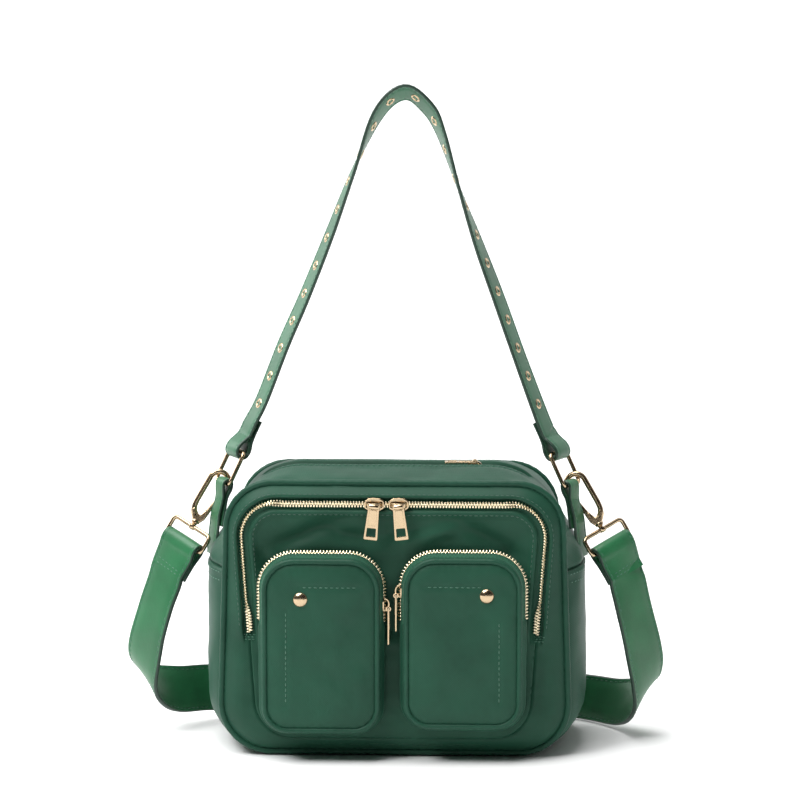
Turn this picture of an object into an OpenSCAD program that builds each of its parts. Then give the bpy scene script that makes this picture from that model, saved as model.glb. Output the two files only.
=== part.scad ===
// Crossbody purse with a hooped front zip, two zipped patch pockets,
// a short studded shoulder strap on rings and a wide clip-on crossbody strap.
// Frame: origin at the centre of the base, +Z up, front faces -Y.

/* [Bag body] */
// Half width of the bag at its widest
half_w = 127; // [125:0.5:129]
// Height of the bag
bag_h = 192; // [191:0.5:194]
// Half depth of the bag between the two piped seams
half_d = 46; // [45:0.5:47]
// Thickness of the padded outer fabric
skin = 1.6; // [1.2:0.1:1.8]
// Height of the side seams between the upper and the lower gusset
seam_z = 126; // [120:0.5:128]
// Diameter of the piping cord
piping_d = 4; // [3:0.5:4.5]

/* [Front pocket] */
// Half width of the hooped front pocket panel
fp_half_w = 94; // [92:0.5:95]
// Height of its top edge
fp_top = 169; // [167:0.5:170]
// Width of the zip chain
chain_w = 5; // [4:0.5:6]

/* [Patch pockets] */
// Height of the lower edge of a patch pocket
pk_low = 21; // [20:0.5:24]
// Height of the upper edge of a patch pocket
pk_top = 138; // [136:0.5:140]
// How far a patch pocket stands out
pk_depth = 18; // [15:0.5:20]

/* [Zip pulls] */
// Length of a zip pull
pull_l = 22; // [18:0.5:24]
// Width of a zip pull
pull_w = 8; // [6:0.5:9]
// Thickness of a zip pull
pull_t = 1.4; // [1:0.1:1.8]

/* [Rings and hooks] */
// Wire diameter of the strap rings
ring_wire = 2.6; // [2.2:0.1:2.8]
// Length of a ring between bar centres
ring_l = 24; // [23:0.5:25]
// Width of a ring between bar centres
ring_w = 22; // [21:0.5:23]
// Wire diameter of the snap hooks
hook_wire = 3; // [2.6:0.1:3.2]

/* [Straps] */
// Width of the shoulder strap
shoulder_w = 19; // [16:0.5:19]
// Thickness of the shoulder strap
shoulder_t = 2.4; // [2:0.1:3]
// Width of the crossbody strap
cross_w = 32; // [28:0.5:32]
// Thickness of the crossbody strap
cross_t = 3; // [2.4:0.1:3.2]
// Diameter of the strap eyelets
eyelet_d = 6.4; // [5:0.2:7]

/* [Hidden] */

green = [0.16, 0.33, 0.26];
leather = [0.22, 0.46, 0.33];
gold = [0.83, 0.72, 0.50];
lining_grey = [0.20, 0.22, 0.21];

// pivot of the shoulder strap's rings in their leather tabs
piv = [117, 0, 175.3];
lean = 28;      // inward lean of a ring
turn = 29;      // turn of a ring and tab about the vertical
hook_off = 5.5;  // hook's place along the lower bar, towards the back
hook_a = -9.2;  // hook's tilt about X
hook_b = 30.5;  // hook's tilt about Y
hook_l = 31;    // from the hook's arc centre to its base
hook_r = 6.5;   // radius of the hook's arc
knuckle_r = 9.6; // the tab's folded end turns inside this radius
zip_y = -(half_d + 7.6 + 6); // plane of the patch pockets' zips
pk_face_y = -(half_d + 7.6 + pk_depth);

// ---------- outlines, drawn in the XZ plane ----------
module edge_outline(t) {
    hull() for (s = [-1, 1]) {
        translate([s * 82, 36]) circle(r = 32 - t, $fn = 40);
        translate([s * 80, 153]) circle(r = 30 - t, $fn = 40);
    }
}
module belly_outline(t) {
    hull() for (s = [-1, 1]) {
        translate([s * (half_w - 40), 40]) circle(r = 40 - t, $fn = 40);
        translate([s * (half_w - 43), 112]) circle(r = 42 - t, $fn = 40);
        translate([s * 66, bag_h - 50]) circle(r = 50 - t, $fn = 40);
    }
}
// extrudes a drawing of the XZ plane from y0 towards +Y by d
module slab(y0, d) { translate([0, y0 + d, 0]) rotate([90, 0, 0]) linear_extrude(d) children(); }

module bag_solid(t) {
    hull() {
        slab(-half_d + t, 0.2) edge_outline(t);
        slab(half_d - t - 0.2, 0.2) edge_outline(t);
        slab(-26 , 52) belly_outline(t);
    }
}
module fp_outline(t) {
    hull() {
        for (s = [-1, 1]) translate([s * (fp_half_w - 22), fp_top - 22]) circle(r = 22 - t, $fn = 40);
        for (s = [-1, 1]) translate([s * (fp_half_w - 30), 40]) circle(r = 30 - t, $fn = 40);
    }
}
// a patch pocket's outline, for the left pocket; the right one is its mirror about x = -1
module pk_outline(t) {
    hull() {
        for (x = [-65, -30]) translate([x, pk_top - 22]) circle(r = 22 - t, $fn = 40);
        for (x = [-69, -26]) translate([x, pk_low + 18]) circle(r = 18 - t, $fn = 40);
    }
}
module to_right() { translate([-1, 0, 0]) mirror([1, 0, 0]) translate([1, 0, 0]) children(); }
module other_side() { mirror([1, 0, 0]) children(); }

// ---------- bag shell ----------
module front_panel() color(green)
    difference() {
        slab(-half_d, skin) edge_outline(2);
        slab(-half_d - 1, skin + 2) fp_outline(1);
    }
module back_panel() color(green) slab(half_d - skin, skin) edge_outline(2);

module gusset() {
    difference() {
        bag_solid(0);
        bag_solid(skin + 0.01);
        translate([-200, -100, -50]) cube([400, 100 - half_d + 2, 300]);
        translate([-200, half_d - 2, -50]) cube([400, 100, 300]);
    }
}
module upper_gusset() color(green)
    difference() {
        gusset();
        translate([-200, -100, -100]) cube([400, 200, seam_z + 100.2]);
        translate([-88, -5.5, 150]) cube([176, 11, 60]);
    }
module lower_gusset() color(green)
    difference() {
        gusset();
        translate([-200, -100, seam_z]) cube([400, 200, 240]);
    }
module piping_ring(y) {
    difference() {
        slab(y - piping_d / 2, piping_d) edge_outline(-1.6);
        slab(y - piping_d / 2 - 1, piping_d + 2) edge_outline(2.2);
        bag_solid(-0.1);
    }
}
module front_piping() color(green) piping_ring(-half_d + 0.5);
module back_piping() color(green) piping_ring(half_d - 0.5);

module lining() color(lining_grey)
    difference() {
        bag_solid(skin + 5.4);
        bag_solid(skin + 6);
        translate([-88, -4, 120]) cube([176, 8, 80]);
    }
module base_board() color([0.35, 0.33, 0.3])
    translate([-78, -25, skin + 0.4]) cube([156, 50, 2]);

// ---------- hooped front pocket ----------
module front_pocket_panel() color(green) slab(-half_d - 7.6, skin) fp_outline(0);
module front_pocket_wall() color(green)
    difference() {
        slab(-half_d - 5.9, 5.8) fp_outline(0);
        slab(-half_d - 8, 10) fp_outline(skin);
        translate([-200, -80, 82]) cube([400, 100, 200]);
    }
module front_pocket_divider() color(lining_grey) slab(-half_d + skin + 0.2, 0.8) fp_outline(-3);
module front_zip_chain() color(gold)
    difference() {
        slab(-half_d - 5.9, chain_w) fp_outline(-1.2);
        slab(-half_d - 8, 10) fp_outline(1.2);
        translate([-200, -80, -40]) cube([400, 100, 122.4]);
    }

// the bridge over a slider that travels along X, its top towards -Y
module bridge(l) {
    for (s = [-1, 1]) translate([s * (l / 2 - 0.8), -1.2, 0]) rotate([90, 0, 0]) cylinder(h = 4, r = 0.8, $fn = 24);
    translate([-l / 2, -5.2, 0]) rotate([0, 90, 0]) cylinder(h = l, r = 0.8, $fn = 24);
}
// a pull that hangs from a bar along X through the origin
module pull() {
    difference() {
        union() {
            translate([-pull_w / 2, -pull_t / 2, -pull_l]) cube([pull_w, pull_t, pull_l - 1.2]);
            rotate([0, 90, 0]) translate([0, 0, -pull_w / 2 + 0.6]) cylinder(h = pull_w - 1.2, r = 1.9, $fn = 32);
        }
        rotate([0, 90, 0]) translate([0, 0, -pull_w]) cylinder(h = 2 * pull_w, r = 1.15, $fn = 32);
        translate([-pull_w / 2 + 1.6, -pull_t, -pull_l + 1.8]) cube([pull_w - 3.2, 2 * pull_t, 5]);
    }
}
fz_y = -half_d - 9.9; // face of the hooped pocket's zip sliders
fz_z = 169.4;
module front_slider(x) translate([x, fz_y, fz_z + 1.4]) {
    translate([-5.8, -0.2, -3.8]) cube([11.6, 2.2, 7.6]);
    translate([0, 1.6, 0]) bridge(10.6);
}
module front_zip_slider_left() color(gold) front_slider(-13);
module front_zip_slider_right() color(gold) front_slider(3);
module front_pull(x) translate([x, fz_y - 3.6, fz_z + 1.4]) pull();
module front_zip_pull_left() color(gold) front_pull(-13);
module front_zip_pull_right() color(gold) front_pull(3);

// ---------- main zip in the top ----------
module main_zip_chain() color(gold)
    difference() {
        intersection() {
            bag_solid(skin + 4);
            translate([-90, -6, 140]) cube([180, 12, 100]);
        }
        bag_solid(skin + 5.2);
    }
mz_x = 52;
mz_z = bag_h - skin - 3.8;
module main_zip_slider() color(gold) translate([mz_x, 0, mz_z]) {
    translate([-5.6, -3.8, 0]) cube([11.2, 7.6, 1.8]);
    for (s = [-1, 1]) translate([s * 3.2, 0, 1.6]) cylinder(h = 2, r = 0.7, $fn = 24);
    translate([-4.2, 0, 3.7]) rotate([0, 90, 0]) cylinder(h = 8.4, r = 0.6, $fn = 24);
}
module main_zip_pull() color(gold) translate([mz_x, 0, mz_z + 3.7])
    difference() {
        union() {
            translate([-pull_l + 2, -2.9, -0.6]) cube([pull_l - 3.2, 5.8, 1.2]);
            rotate([0, 90, 90]) translate([0, 0, -2.3]) cylinder(h = 4.6, r = 1.5, $fn = 32);
        }
        translate([-4.6, -1.1, -3]) cube([6.8, 2.2, 6]);
        translate([-pull_l + 3.4, -1.6, -2]) cube([5, 3.2, 4]);
    }

// ---------- patch pockets ----------
module pk_face() slab(pk_face_y, skin) pk_outline(3.7);
module pk_piping()
    difference() {
        slab(pk_face_y - 0.4, 3.4) pk_outline(0.6);
        slab(pk_face_y - 2, 6) pk_outline(3.5);
    }
module pk_band(t0, t1, y0, y1)
    difference() {
        slab(y0, y1 - y0) pk_outline(t0);
        slab(y0 - 1, y1 - y0 + 2) pk_outline(t1);
    }
module pk_wall() union() {
    difference() {
        pk_band(0.8, 2.2, pk_face_y + 3.1, -half_d - 7.7);
        translate([-100, -90, 92]) cube([110, 60, 100]);
    }
    difference() {
        pk_band(0.8, 2.2, pk_face_y + 3.1, zip_y - 2.1);
        translate([-100, -90, -10]) cube([110, 60, 101.9]);
    }
}
module pk_chain()
    difference() {
        pk_band(-0.4, 2.4, zip_y - 2, -half_d - 7.8);
        translate([-100, -90, -8]) cube([110, 60, 100.4]);
    }
// side slider: travels along Z on the pocket's inner side, its top towards +X
module pk_slider(z) translate([-7.2, zip_y, z]) {
    translate([0, -3.2, -5]) cube([1.8, 6.4, 10]);
    for (s = [-1, 1]) translate([1.6, 0, s * 3.6]) rotate([0, 90, 0]) cylinder(h = 2.2, r = 0.7, $fn = 24);
    translate([3.7, 0, -4.7]) cylinder(h = 9.4, r = 0.6, $fn = 24);
}
// pull hanging beside the slider, its eye round the bridge's lower end
module pk_pull(z) translate([-7.2 + 3.7, zip_y, z]) difference() {
    union() {
        translate([-0.6, -3, -pull_l - 5]) cube([1.2, 6, pull_l - 1.4]);
        translate([-0.6, -3, -6.8]) cube([1.2, 1.2, 8]);
        translate([-0.6, 1.8, -6.8]) cube([1.2, 1.2, 8]);
        rotate([90, 0, 0]) translate([0, 0, 1.2]) cylinder(h = 1.8, r = 1.5, $fn = 24);
        rotate([90, 0, 0]) translate([0, 0, -3]) cylinder(h = 1.8, r = 1.5, $fn = 24);
    }
    translate([-2, -1.4, -pull_l - 3.4]) cube([4, 2.8, 4.4]);
}
lz = 106;
rz = 115;
module rivet() translate([-62, pk_face_y, 113]) rotate([90, 0, 0]) {
    cylinder(h = 0.8, r = 4.8, $fn = 48);
    intersection() {
        translate([0, 0, -6.4]) sphere(r = 8.6, $fn = 48);
        cylinder(h = 3, r = 4.7, $fn = 48);
    }
    translate([0, 0, -3]) cylinder(h = 3.1, r = 1.2, $fn = 24);
}
module left_pocket_face() color(green) difference() { pk_face(); rivet_hole(); }
module rivet_hole() translate([-62, pk_face_y + 5, 113]) rotate([90, 0, 0]) cylinder(h = 10, r = 1.2, $fn = 24);
module left_pocket_piping() color(green) pk_piping();
module left_pocket_wall() color(green) pk_wall();
module left_pocket_zip_chain() color(gold) pk_chain();
module left_pocket_slider() color(gold) pk_slider(lz);
module left_pocket_pull() color(gold) pk_pull(lz);
module left_rivet() color(gold) rivet();
module right_pocket_face() color(green) to_right() difference() { pk_face(); rivet_hole(); }
module right_pocket_piping() color(green) to_right() pk_piping();
module right_pocket_wall() color(green) to_right() pk_wall();
module right_pocket_zip_chain() color(gold) to_right() pk_chain();
module right_pocket_slider() color(gold) to_right() pk_slider(rz);
module right_pocket_pull() color(gold) to_right() pk_pull(rz);
module right_rivet() color(gold) to_right() rivet();

// ---------- swept straps ----------
function unit(v) = v / norm(v);
function pick(a, i) = a[max(0, min(len(a) - 1, i))];
// Catmull-Rom through the control rows, each [x, y, z, wx, wy, wz]
function cr(a, i, t) = let(p = pick(a, i - 1), q = pick(a, i), r = pick(a, i + 1), s = pick(a, i + 2))
    0.5 * (2 * q + (r - p) * t + (2 * p - 5 * q + 4 * r - s) * t * t + (3 * q - p - 3 * r + s) * t * t * t);
function route(a, n) = concat([for (i = [0 : len(a) - 2]) for (k = [0 : n - 1]) cr(a, i, k / n)], [a[len(a) - 1]]);
function at(r) = [r[0], r[1], r[2]];
function across(r) = [r[3], r[4], r[5]];
function tangent(rs, i) = unit(at(pick(rs, i + 1)) - at(pick(rs, i - 1)));
module ribbon(rows, n, w, t) {
    rs = route(rows, n);
    m = len(rs);
    pts = [for (i = [0 : m - 1])
        let(T = tangent(rs, i), W0 = across(rs[i]), W = unit(W0 - (W0 * T) * T), N = cross(T, W))
        for (c = [[-1, -1], [1, -1], [1, 1], [-1, 1]]) at(rs[i]) + W * c[0] * w / 2 + N * c[1] * t / 2];
    sides = [for (i = [0 : m - 2]) for (k = [0 : 3])
        let(a = 4 * i + k, b = 4 * i + (k + 1) % 4) for (f = [[a, a + 4, b + 4], [a, b + 4, b]]) f];
    polyhedron(pts, concat(sides, [[0, 1, 2], [0, 2, 3]], [[4 * m - 2, 4 * m - 3, 4 * m - 4], [4 * m - 1, 4 * m - 2, 4 * m - 4]]));
}
flipx = [-1, 1, 1, -1, 1, 1];
function mirrored(a) = [for (i = [len(a) - 1 : -1 : 0]) [for (k = [0 : 5]) a[i][k] * flipx[k]]];

// shoulder strap, from the left ring up over the apex and down to the right ring
shoulder_rows = [
    [-105, 6.6, 201.3, 0.48, -0.87, 0], [-98, 7, 216, 0.46, -0.88, 0], [-90, 6.5, 232, 0.44, -0.9, 0], [-76, 6, 268, 0.42, -0.9, 0],
    [-62, 5, 300, 0.38, -0.92, 0], [-45, 4, 342, 0.3, -0.95, 0], [-29, 2, 384, 0.1, -1, 0],
    [-12, 0, 423, -0.25, -0.92, 0.3], [5, 0, 437, 0, -0.82, 0.57], [20, 0, 427, 0.4, -0.86, 0.3],
    [29, 1, 410, 0.3, -0.93, 0.1], [41, 2, 373, 0.05, -1, 0], [54, 4, 336, -0.25, -0.96, 0],
    [67, 5, 301, -0.36, -0.93, 0], [82, 6, 259, -0.4, -0.92, 0], [98, 7, 216, -0.46, -0.88, 0], [105, 6.6, 201.3, -0.48, -0.87, 0]];
module shoulder_strap() color(leather) {
    ribbon(shoulder_rows, 5, shoulder_w, shoulder_t);
    strap_fold();
    other_side() strap_fold();
}
// folded end of the shoulder strap, round the ring's upper bar
module strap_fold() ring_place() translate([0, 0, ring_l]) difference() {
    union() {
        rotate([90, 0, 0]) cylinder(h = shoulder_w - 1, r = 3.6, center = true, $fn = 32);
        translate([-3.6, -shoulder_w / 2 + 0.5, 0]) cube([7.2, shoulder_w - 1, 5.4]);
    }
    rotate([90, 0, 0]) cylinder(h = shoulder_w + 2, r = ring_wire / 2 + 0.1, center = true, $fn = 32);
}
// eyelets follow the strap's own route
module eyelet_at(r, T) {
    W0 = across(r);
    W = unit(W0 - (W0 * T) * T);
    N = cross(T, W);
    multmatrix([[W[0], T[0], -N[0], r[0]], [W[1], T[1], -N[1], r[1]], [W[2], T[2], -N[2], r[2]], [0, 0, 0, 1]])
        difference() {
            cylinder(h = shoulder_t + 0.8, r = eyelet_d / 2, center = true, $fn = 24);
            cylinder(h = shoulder_t + 2, r = eyelet_d / 2 - 1.6, center = true, $fn = 24);
        }
}
module shoulder_eyelets() color(gold) {
    rs = route(shoulder_rows, 5);
    for (i = [8 : 3 : len(rs) - 9]) eyelet_at(rs[i], tangent(rs, i));
}

// ---------- rings and tabs, drawn for the left side ----------
// places children at the left ring: origin at the lower bar's centre, Z along the ring, Y across it
module ring_place() translate([-piv[0], piv[1], piv[2]]) rotate([0, 0, turn]) rotate([0, lean, 0]) children();
module ring() ring_place() {
    for (s = [-1, 1]) translate([0, s * ring_w / 2, 0]) cylinder(h = ring_l, r = ring_wire / 2, $fn = 32);
    for (z = [0, ring_l]) translate([0, 0, z]) rotate([90, 0, 0]) cylinder(h = ring_w, r = ring_wire / 2, center = true, $fn = 32);
    for (s = [-1, 1]) for (z = [0, ring_l]) translate([0, s * ring_w / 2, z]) sphere(r = ring_wire / 2, $fn = 32);
}
module left_ring() color(gold) ring();
module right_ring() color(gold) other_side() ring();

module knuckle(r) translate([-piv[0] - 30, piv[1], piv[2]]) rotate([0, 90, 0]) cylinder(h = 60, r = r, $fn = 64);
// the tab's leather, two layers folded over the lower bar, ahead of the hook
module tab_top() translate([-piv[0], piv[1], piv[2]]) rotate([0, 0, turn]) difference() {
    union() {
        translate([0, 1, 0]) rotate([90, 0, 0]) cylinder(h = 9.8, r = 3.4, $fn = 32);
        translate([-3, -8.8, -5]) cube([4.4, 9.8, 5]);
    }
    translate([0, 5, 0]) rotate([90, 0, 0]) cylinder(h = 16, r = ring_wire / 2 + 0.05, $fn = 32);
}
module tab_loop() intersection() { tab_top(); knuckle(knuckle_r); }
tab_rows = [[-119.2, -4, 163, 0.48, -0.87, 0], [-120.6, -3.6, 156, 0.4, -0.92, 0], [-121.8, -3, 147, 0.2, -0.98, 0], [-122.6, -2.4, 139, 0.05, -1, 0], [-124.2, -2, 130, 0, -1, 0]];
module tab() difference() {
    ribbon(tab_rows, 4, 10, 3.6);
    knuckle(knuckle_r + 0.4);
}
module left_tab() color(leather) tab();
module right_tab() color(leather) other_side() tab();
module left_tab_loop() color(leather) tab_loop();
module right_tab_loop() color(leather) other_side() tab_loop();

// ---------- snap hook, drawn for the left side ----------
hook_c = [-piv[0] - hook_off * sin(turn), hook_off * cos(turn), piv[2]];
// local frame: Z from the hook's base to its arc centre, X towards the gate
module hook_place() translate(hook_c) rotate([hook_a, hook_b, 0]) children();
module hook() hook_place() {
    difference() {
        rotate([90, 0, 0]) rotate_extrude($fn = 64) translate([hook_r, 0]) circle(d = hook_wire, $fn = 24);
        translate([-20, -5, -20]) cube([40, 10, 20]);
    }
    translate([-hook_r, 0, -hook_l + 6]) cylinder(h = hook_l - 6, r = hook_wire / 2, $fn = 24);
    translate([hook_r, 0, -2]) cylinder(h = 2, r = hook_wire / 2, $fn = 24);
    translate([-hook_r - 1.9, -2.2, -hook_l]) cube([hook_r + 7.3, 4.4, 6.4]);
    for (s = [-1, 1]) translate([3.4, s * 1.75, -hook_l + 8.6]) rotate([90, 0, 0]) cylinder(h = 0.7, r = 1.8, center = true, $fn = 32);
    for (s = [-1, 1]) translate([1.9, s * 1.75 - 0.35, -hook_l + 6]) cube([3, 0.7, 2.6]);
    translate([3.4, 0, -hook_l + 8.6]) rotate([90, 0, 0]) cylinder(h = 4, r = 0.7, center = true, $fn = 32);
    translate([0, 0, -hook_l - 1.2]) cylinder(h = 2, r = 2.6, $fn = 32);
}
// the gate: a bar from its barrel on the pin up to the nose
module gate() hook_place() translate([3.4, 0, -hook_l + 8.6])
    difference() {
        union() {
            rotate([90, 0, 0]) cylinder(h = 2.4, r = 1.8, center = true, $fn = 32);
            rotate([0, 9, 0]) cylinder(h = 18.8, r = 1.15, $fn = 32);
        }
        rotate([90, 0, 0]) cylinder(h = 6, r = 0.75, center = true, $fn = 32);
    }
module left_hook() color(gold) hook();
module right_hook() color(gold) other_side() hook();
module left_hook_gate() color(gold) gate();
module right_hook_gate() color(gold) other_side() gate();

// the swivel's wire ring, turned about the hook's axis
swivel_turn = -39;
bar_l = cross_w + 3;
leg = 12.5;
module swivel_place() hook_place() translate([0, 0, -hook_l - 2]) rotate([0, 0, swivel_turn]) children();
module swivel_ring() swivel_place() {
    for (z = [-2.2, -2.2 - leg]) translate([-bar_l / 2, 0, z]) rotate([0, 90, 0]) cylinder(h = bar_l, r = 1.3, $fn = 24);
    for (s = [-1, 1]) translate([s * bar_l / 2, 0, -2.2 - leg]) cylinder(h = leg, r = 1.3, $fn = 24);
    for (s = [-1, 1]) for (z = [-2.2, -2.2 - leg]) translate([s * bar_l / 2, 0, z]) sphere(r = 1.3, $fn = 24);
    translate([0, 0, -4]) cylinder(h = 4.4, r = 2.5, $fn = 32);
}
module strap_end() swivel_place() translate([0, 0, -2.2 - leg]) difference() {
    union() {
        rotate([0, 90, 0]) cylinder(h = cross_w, r = 4.2, center = true, $fn = 32);
        translate([-cross_w / 2, -3.4, -10]) cube([cross_w, 6.8, 10]);
    }
    rotate([0, 90, 0]) cylinder(h = cross_w + 2, r = 1.35, center = true, $fn = 32);
}
module left_swivel_ring() color(gold) swivel_ring();
module right_swivel_ring() color(gold) other_side() swivel_ring();
module left_strap_end() color(leather) strap_end();
module right_strap_end() color(leather) other_side() strap_end();

// crossbody strap, from the left swivel round behind the bag, folded twice there, to the right swivel
cross_left = [[-152.5, -4.6, 119.5, 0.72, -0.66, -0.2], [-156, -5, 109, 0.72, -0.68, -0.1], [-162, -5, 92, 0.72, -0.69, 0], [-169, -3, 67, 0.72, -0.66, 0],
    [-171, 4, 48, 0.6, -0.6, -0.5], [-164, 16, 33, 0.3, -0.4, -0.87], [-149, 34, 25, 0.05, -0.2, -0.98], [-128, 50, 22.5, 0, -0.1, -1], [-90, 55, 18.5, 0, 0, -1]];
cross_back = [[-50, 55, 17.5, 0, 0, -1], [0, 55, 17, 0, 0, -1], [50, 55, 17, 0, 0, -1], [86, 55, 17, 0, 0, -1], [93, 59, 17, 0, 0, -1],
    [86, 63, 17, 0, 0, -1], [40, 63, 17, 0, 0, -1], [-40, 63, 17, 0, 0, -1], [-86, 63, 17, 0, 0, -1], [-93, 67.5, 17, 0, 0, -1],
    [-86, 72, 17, 0, 0, -1], [-40, 72, 17, 0, 0, -1], [40, 72, 17, 0, 0, -1], [86, 70, 17, 0, 0, -1]];
cross_right = [[114, 62, 17, 0, 0, -1], [134, 50, 17, 0, -0.1, -1], [151, 34, 18, 0, -0.2, -0.98], [163, 15, 27, -0.3, -0.4, -0.87], [168, 4, 45, -0.6, -0.6, -0.5],
    [165, -3, 67, -0.72, -0.66, 0], [159, -5, 92, -0.72, -0.69, 0], [155, -5, 109, -0.72, -0.68, -0.1], [152.5, -4.6, 119.5, -0.72, -0.66, -0.2]];
module crossbody_strap() color(leather) ribbon(concat(cross_left, cross_back, cross_right), 3, cross_w, cross_t);

front_panel();
back_panel();
upper_gusset();
lower_gusset();
front_piping();
back_piping();
lining();
base_board();
front_pocket_panel();
front_pocket_wall();
front_pocket_divider();
front_zip_chain();
front_zip_slider_left();
front_zip_pull_left();
front_zip_slider_right();
front_zip_pull_right();
main_zip_chain();
main_zip_slider();
main_zip_pull();
left_pocket_face();
left_pocket_piping();
left_pocket_wall();
left_pocket_zip_chain();
left_pocket_slider();
left_pocket_pull();
left_rivet();
right_pocket_face();
right_pocket_piping();
right_pocket_wall();
right_pocket_zip_chain();
right_pocket_slider();
right_pocket_pull();
right_rivet();
left_tab();
right_tab();
left_tab_loop();
right_tab_loop();
left_ring();
right_ring();
shoulder_strap();
shoulder_eyelets();
left_hook();
right_hook();
left_hook_gate();
right_hook_gate();
left_swivel_ring();
right_swivel_ring();
left_strap_end();
right_strap_end();
crossbody_strap();
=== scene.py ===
import math
import bpy
import numpy as np
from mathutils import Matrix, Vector, noise
from mathutils.geometry import delaunay_2d_cdt


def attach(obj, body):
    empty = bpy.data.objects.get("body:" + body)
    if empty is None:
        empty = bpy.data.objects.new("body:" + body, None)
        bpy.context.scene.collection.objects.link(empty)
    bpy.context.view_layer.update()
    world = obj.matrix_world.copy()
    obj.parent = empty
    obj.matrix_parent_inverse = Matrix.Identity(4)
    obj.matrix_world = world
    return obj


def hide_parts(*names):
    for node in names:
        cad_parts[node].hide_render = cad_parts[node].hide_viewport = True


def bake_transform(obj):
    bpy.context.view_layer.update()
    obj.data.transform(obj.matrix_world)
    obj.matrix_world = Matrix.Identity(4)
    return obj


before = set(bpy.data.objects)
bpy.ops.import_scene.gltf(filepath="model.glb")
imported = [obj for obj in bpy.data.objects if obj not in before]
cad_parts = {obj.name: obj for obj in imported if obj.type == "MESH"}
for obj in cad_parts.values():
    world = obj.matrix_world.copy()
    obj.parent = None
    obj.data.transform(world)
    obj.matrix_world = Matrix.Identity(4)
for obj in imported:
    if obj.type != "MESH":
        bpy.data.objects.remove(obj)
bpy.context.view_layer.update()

MM = 0.001

# ------------------------------------------------------------------ node materials
def new_mat(name):
    m = bpy.data.materials.new(name)
    m.use_nodes = True
    nt = m.node_tree
    b = nt.nodes["Principled BSDF"]
    return m, nt, b


def node(nt, kind, **kw):
    n = nt.nodes.new(kind)
    for k, v in kw.items():
        if k in n.inputs:
            n.inputs[k].default_value = v
        else:
            setattr(n, k, v)
    return n


def coords(nt):
    return node(nt, "ShaderNodeTexCoord").outputs["Object"]


def ramp(nt, fac, stops):
    r = nt.nodes.new("ShaderNodeValToRGB")
    e = r.color_ramp.elements
    while len(e) < len(stops):
        e.new(0.5)
    for i, (p, c) in enumerate(stops):
        e[i].position = p
        e[i].color = (c[0], c[1], c[2], 1)
    nt.links.new(fac, r.inputs["Fac"])
    return r.outputs["Color"]


def fabric(name, col, period=0.55, rough=0.5, sheen=0.04, diag=True, weave=0.35, tint=(1, 1, 1), specular=0.2):
    """Twill nylon: two thread directions for the bump, a fleck of colour, soft blotches."""
    m, nt, b = new_mat(name)
    co = coords(nt)
    mp = node(nt, "ShaderNodeMapping")
    mp.inputs["Rotation"].default_value = (0, math.radians(45 if diag else 0), 0)
    nt.links.new(co, mp.inputs["Vector"])
    k = 1.0 / (period * MM)
    waves = []
    for d in ("X", "Z"):
        w = node(nt, "ShaderNodeTexWave", wave_type="BANDS", bands_direction=d, wave_profile="SIN")
        w.inputs["Scale"].default_value = k * 0.314 / 2
        w.inputs["Distortion"].default_value = 0.6
        w.inputs["Detail"].default_value = 1.0
        w.inputs["Detail Scale"].default_value = 1.5
        nt.links.new((mp.outputs["Vector"]), w.inputs["Vector"])
        waves.append(w)
    mx = node(nt, "ShaderNodeMath", operation="MAXIMUM")
    nt.links.new(waves[0].outputs["Fac"], mx.inputs[0])
    nt.links.new(waves[1].outputs["Fac"], mx.inputs[1])
    big = node(nt, "ShaderNodeTexNoise", Scale=22.0, Detail=4.0, Roughness=0.6)
    nt.links.new(co, big.inputs["Vector"])
    fine = node(nt, "ShaderNodeTexNoise", Scale=1400.0, Detail=3.0, Roughness=0.7)
    nt.links.new(co, fine.inputs["Vector"])
    c0 = [x * 0.82 for x in col]
    c1 = [x * 1.16 * t for x, t in zip(col, tint)]
    base = ramp(nt, big.outputs["Fac"], [(0.3, c0), (0.7, c1)])
    mixc = node(nt, "ShaderNodeMix", data_type="RGBA", blend_type="MULTIPLY")
    mixc.inputs["Factor"].default_value = weave
    nt.links.new(base, mixc.inputs[6])
    fl = ramp(nt, mx.outputs[0], [(0.1, (0.55, 0.55, 0.55)), (0.75, (1.12, 1.12, 1.12))])
    nt.links.new(fl, mixc.inputs[7])
    nt.links.new(mixc.outputs[2], b.inputs["Base Color"])
    add = node(nt, "ShaderNodeMath", operation="ADD")
    sc = node(nt, "ShaderNodeMath", operation="MULTIPLY")
    sc.inputs[1].default_value = 0.5
    nt.links.new(fine.outputs["Fac"], sc.inputs[0])
    nt.links.new(mx.outputs[0], add.inputs[0])
    nt.links.new(sc.outputs[0], add.inputs[1])
    bp = node(nt, "ShaderNodeBump", Strength=0.5, Distance=0.00007)
    nt.links.new(add.outputs[0], bp.inputs["Height"])
    nt.links.new(bp.outputs["Normal"], b.inputs["Normal"])
    rr = node(nt, "ShaderNodeMapRange")
    rr.inputs["To Min"].default_value = rough - 0.06
    rr.inputs["To Max"].default_value = rough + 0.10
    nt.links.new(fine.outputs["Fac"], rr.inputs["Value"])
    nt.links.new(rr.outputs["Result"], b.inputs["Roughness"])
    b.inputs["Sheen Weight"].default_value = sheen
    b.inputs["Sheen Roughness"].default_value = 0.45
    b.inputs["Sheen Tint"].default_value = (0.55, 0.85, 0.72, 1)
    b.inputs["Specular IOR Level"].default_value = specular
    return m


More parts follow.
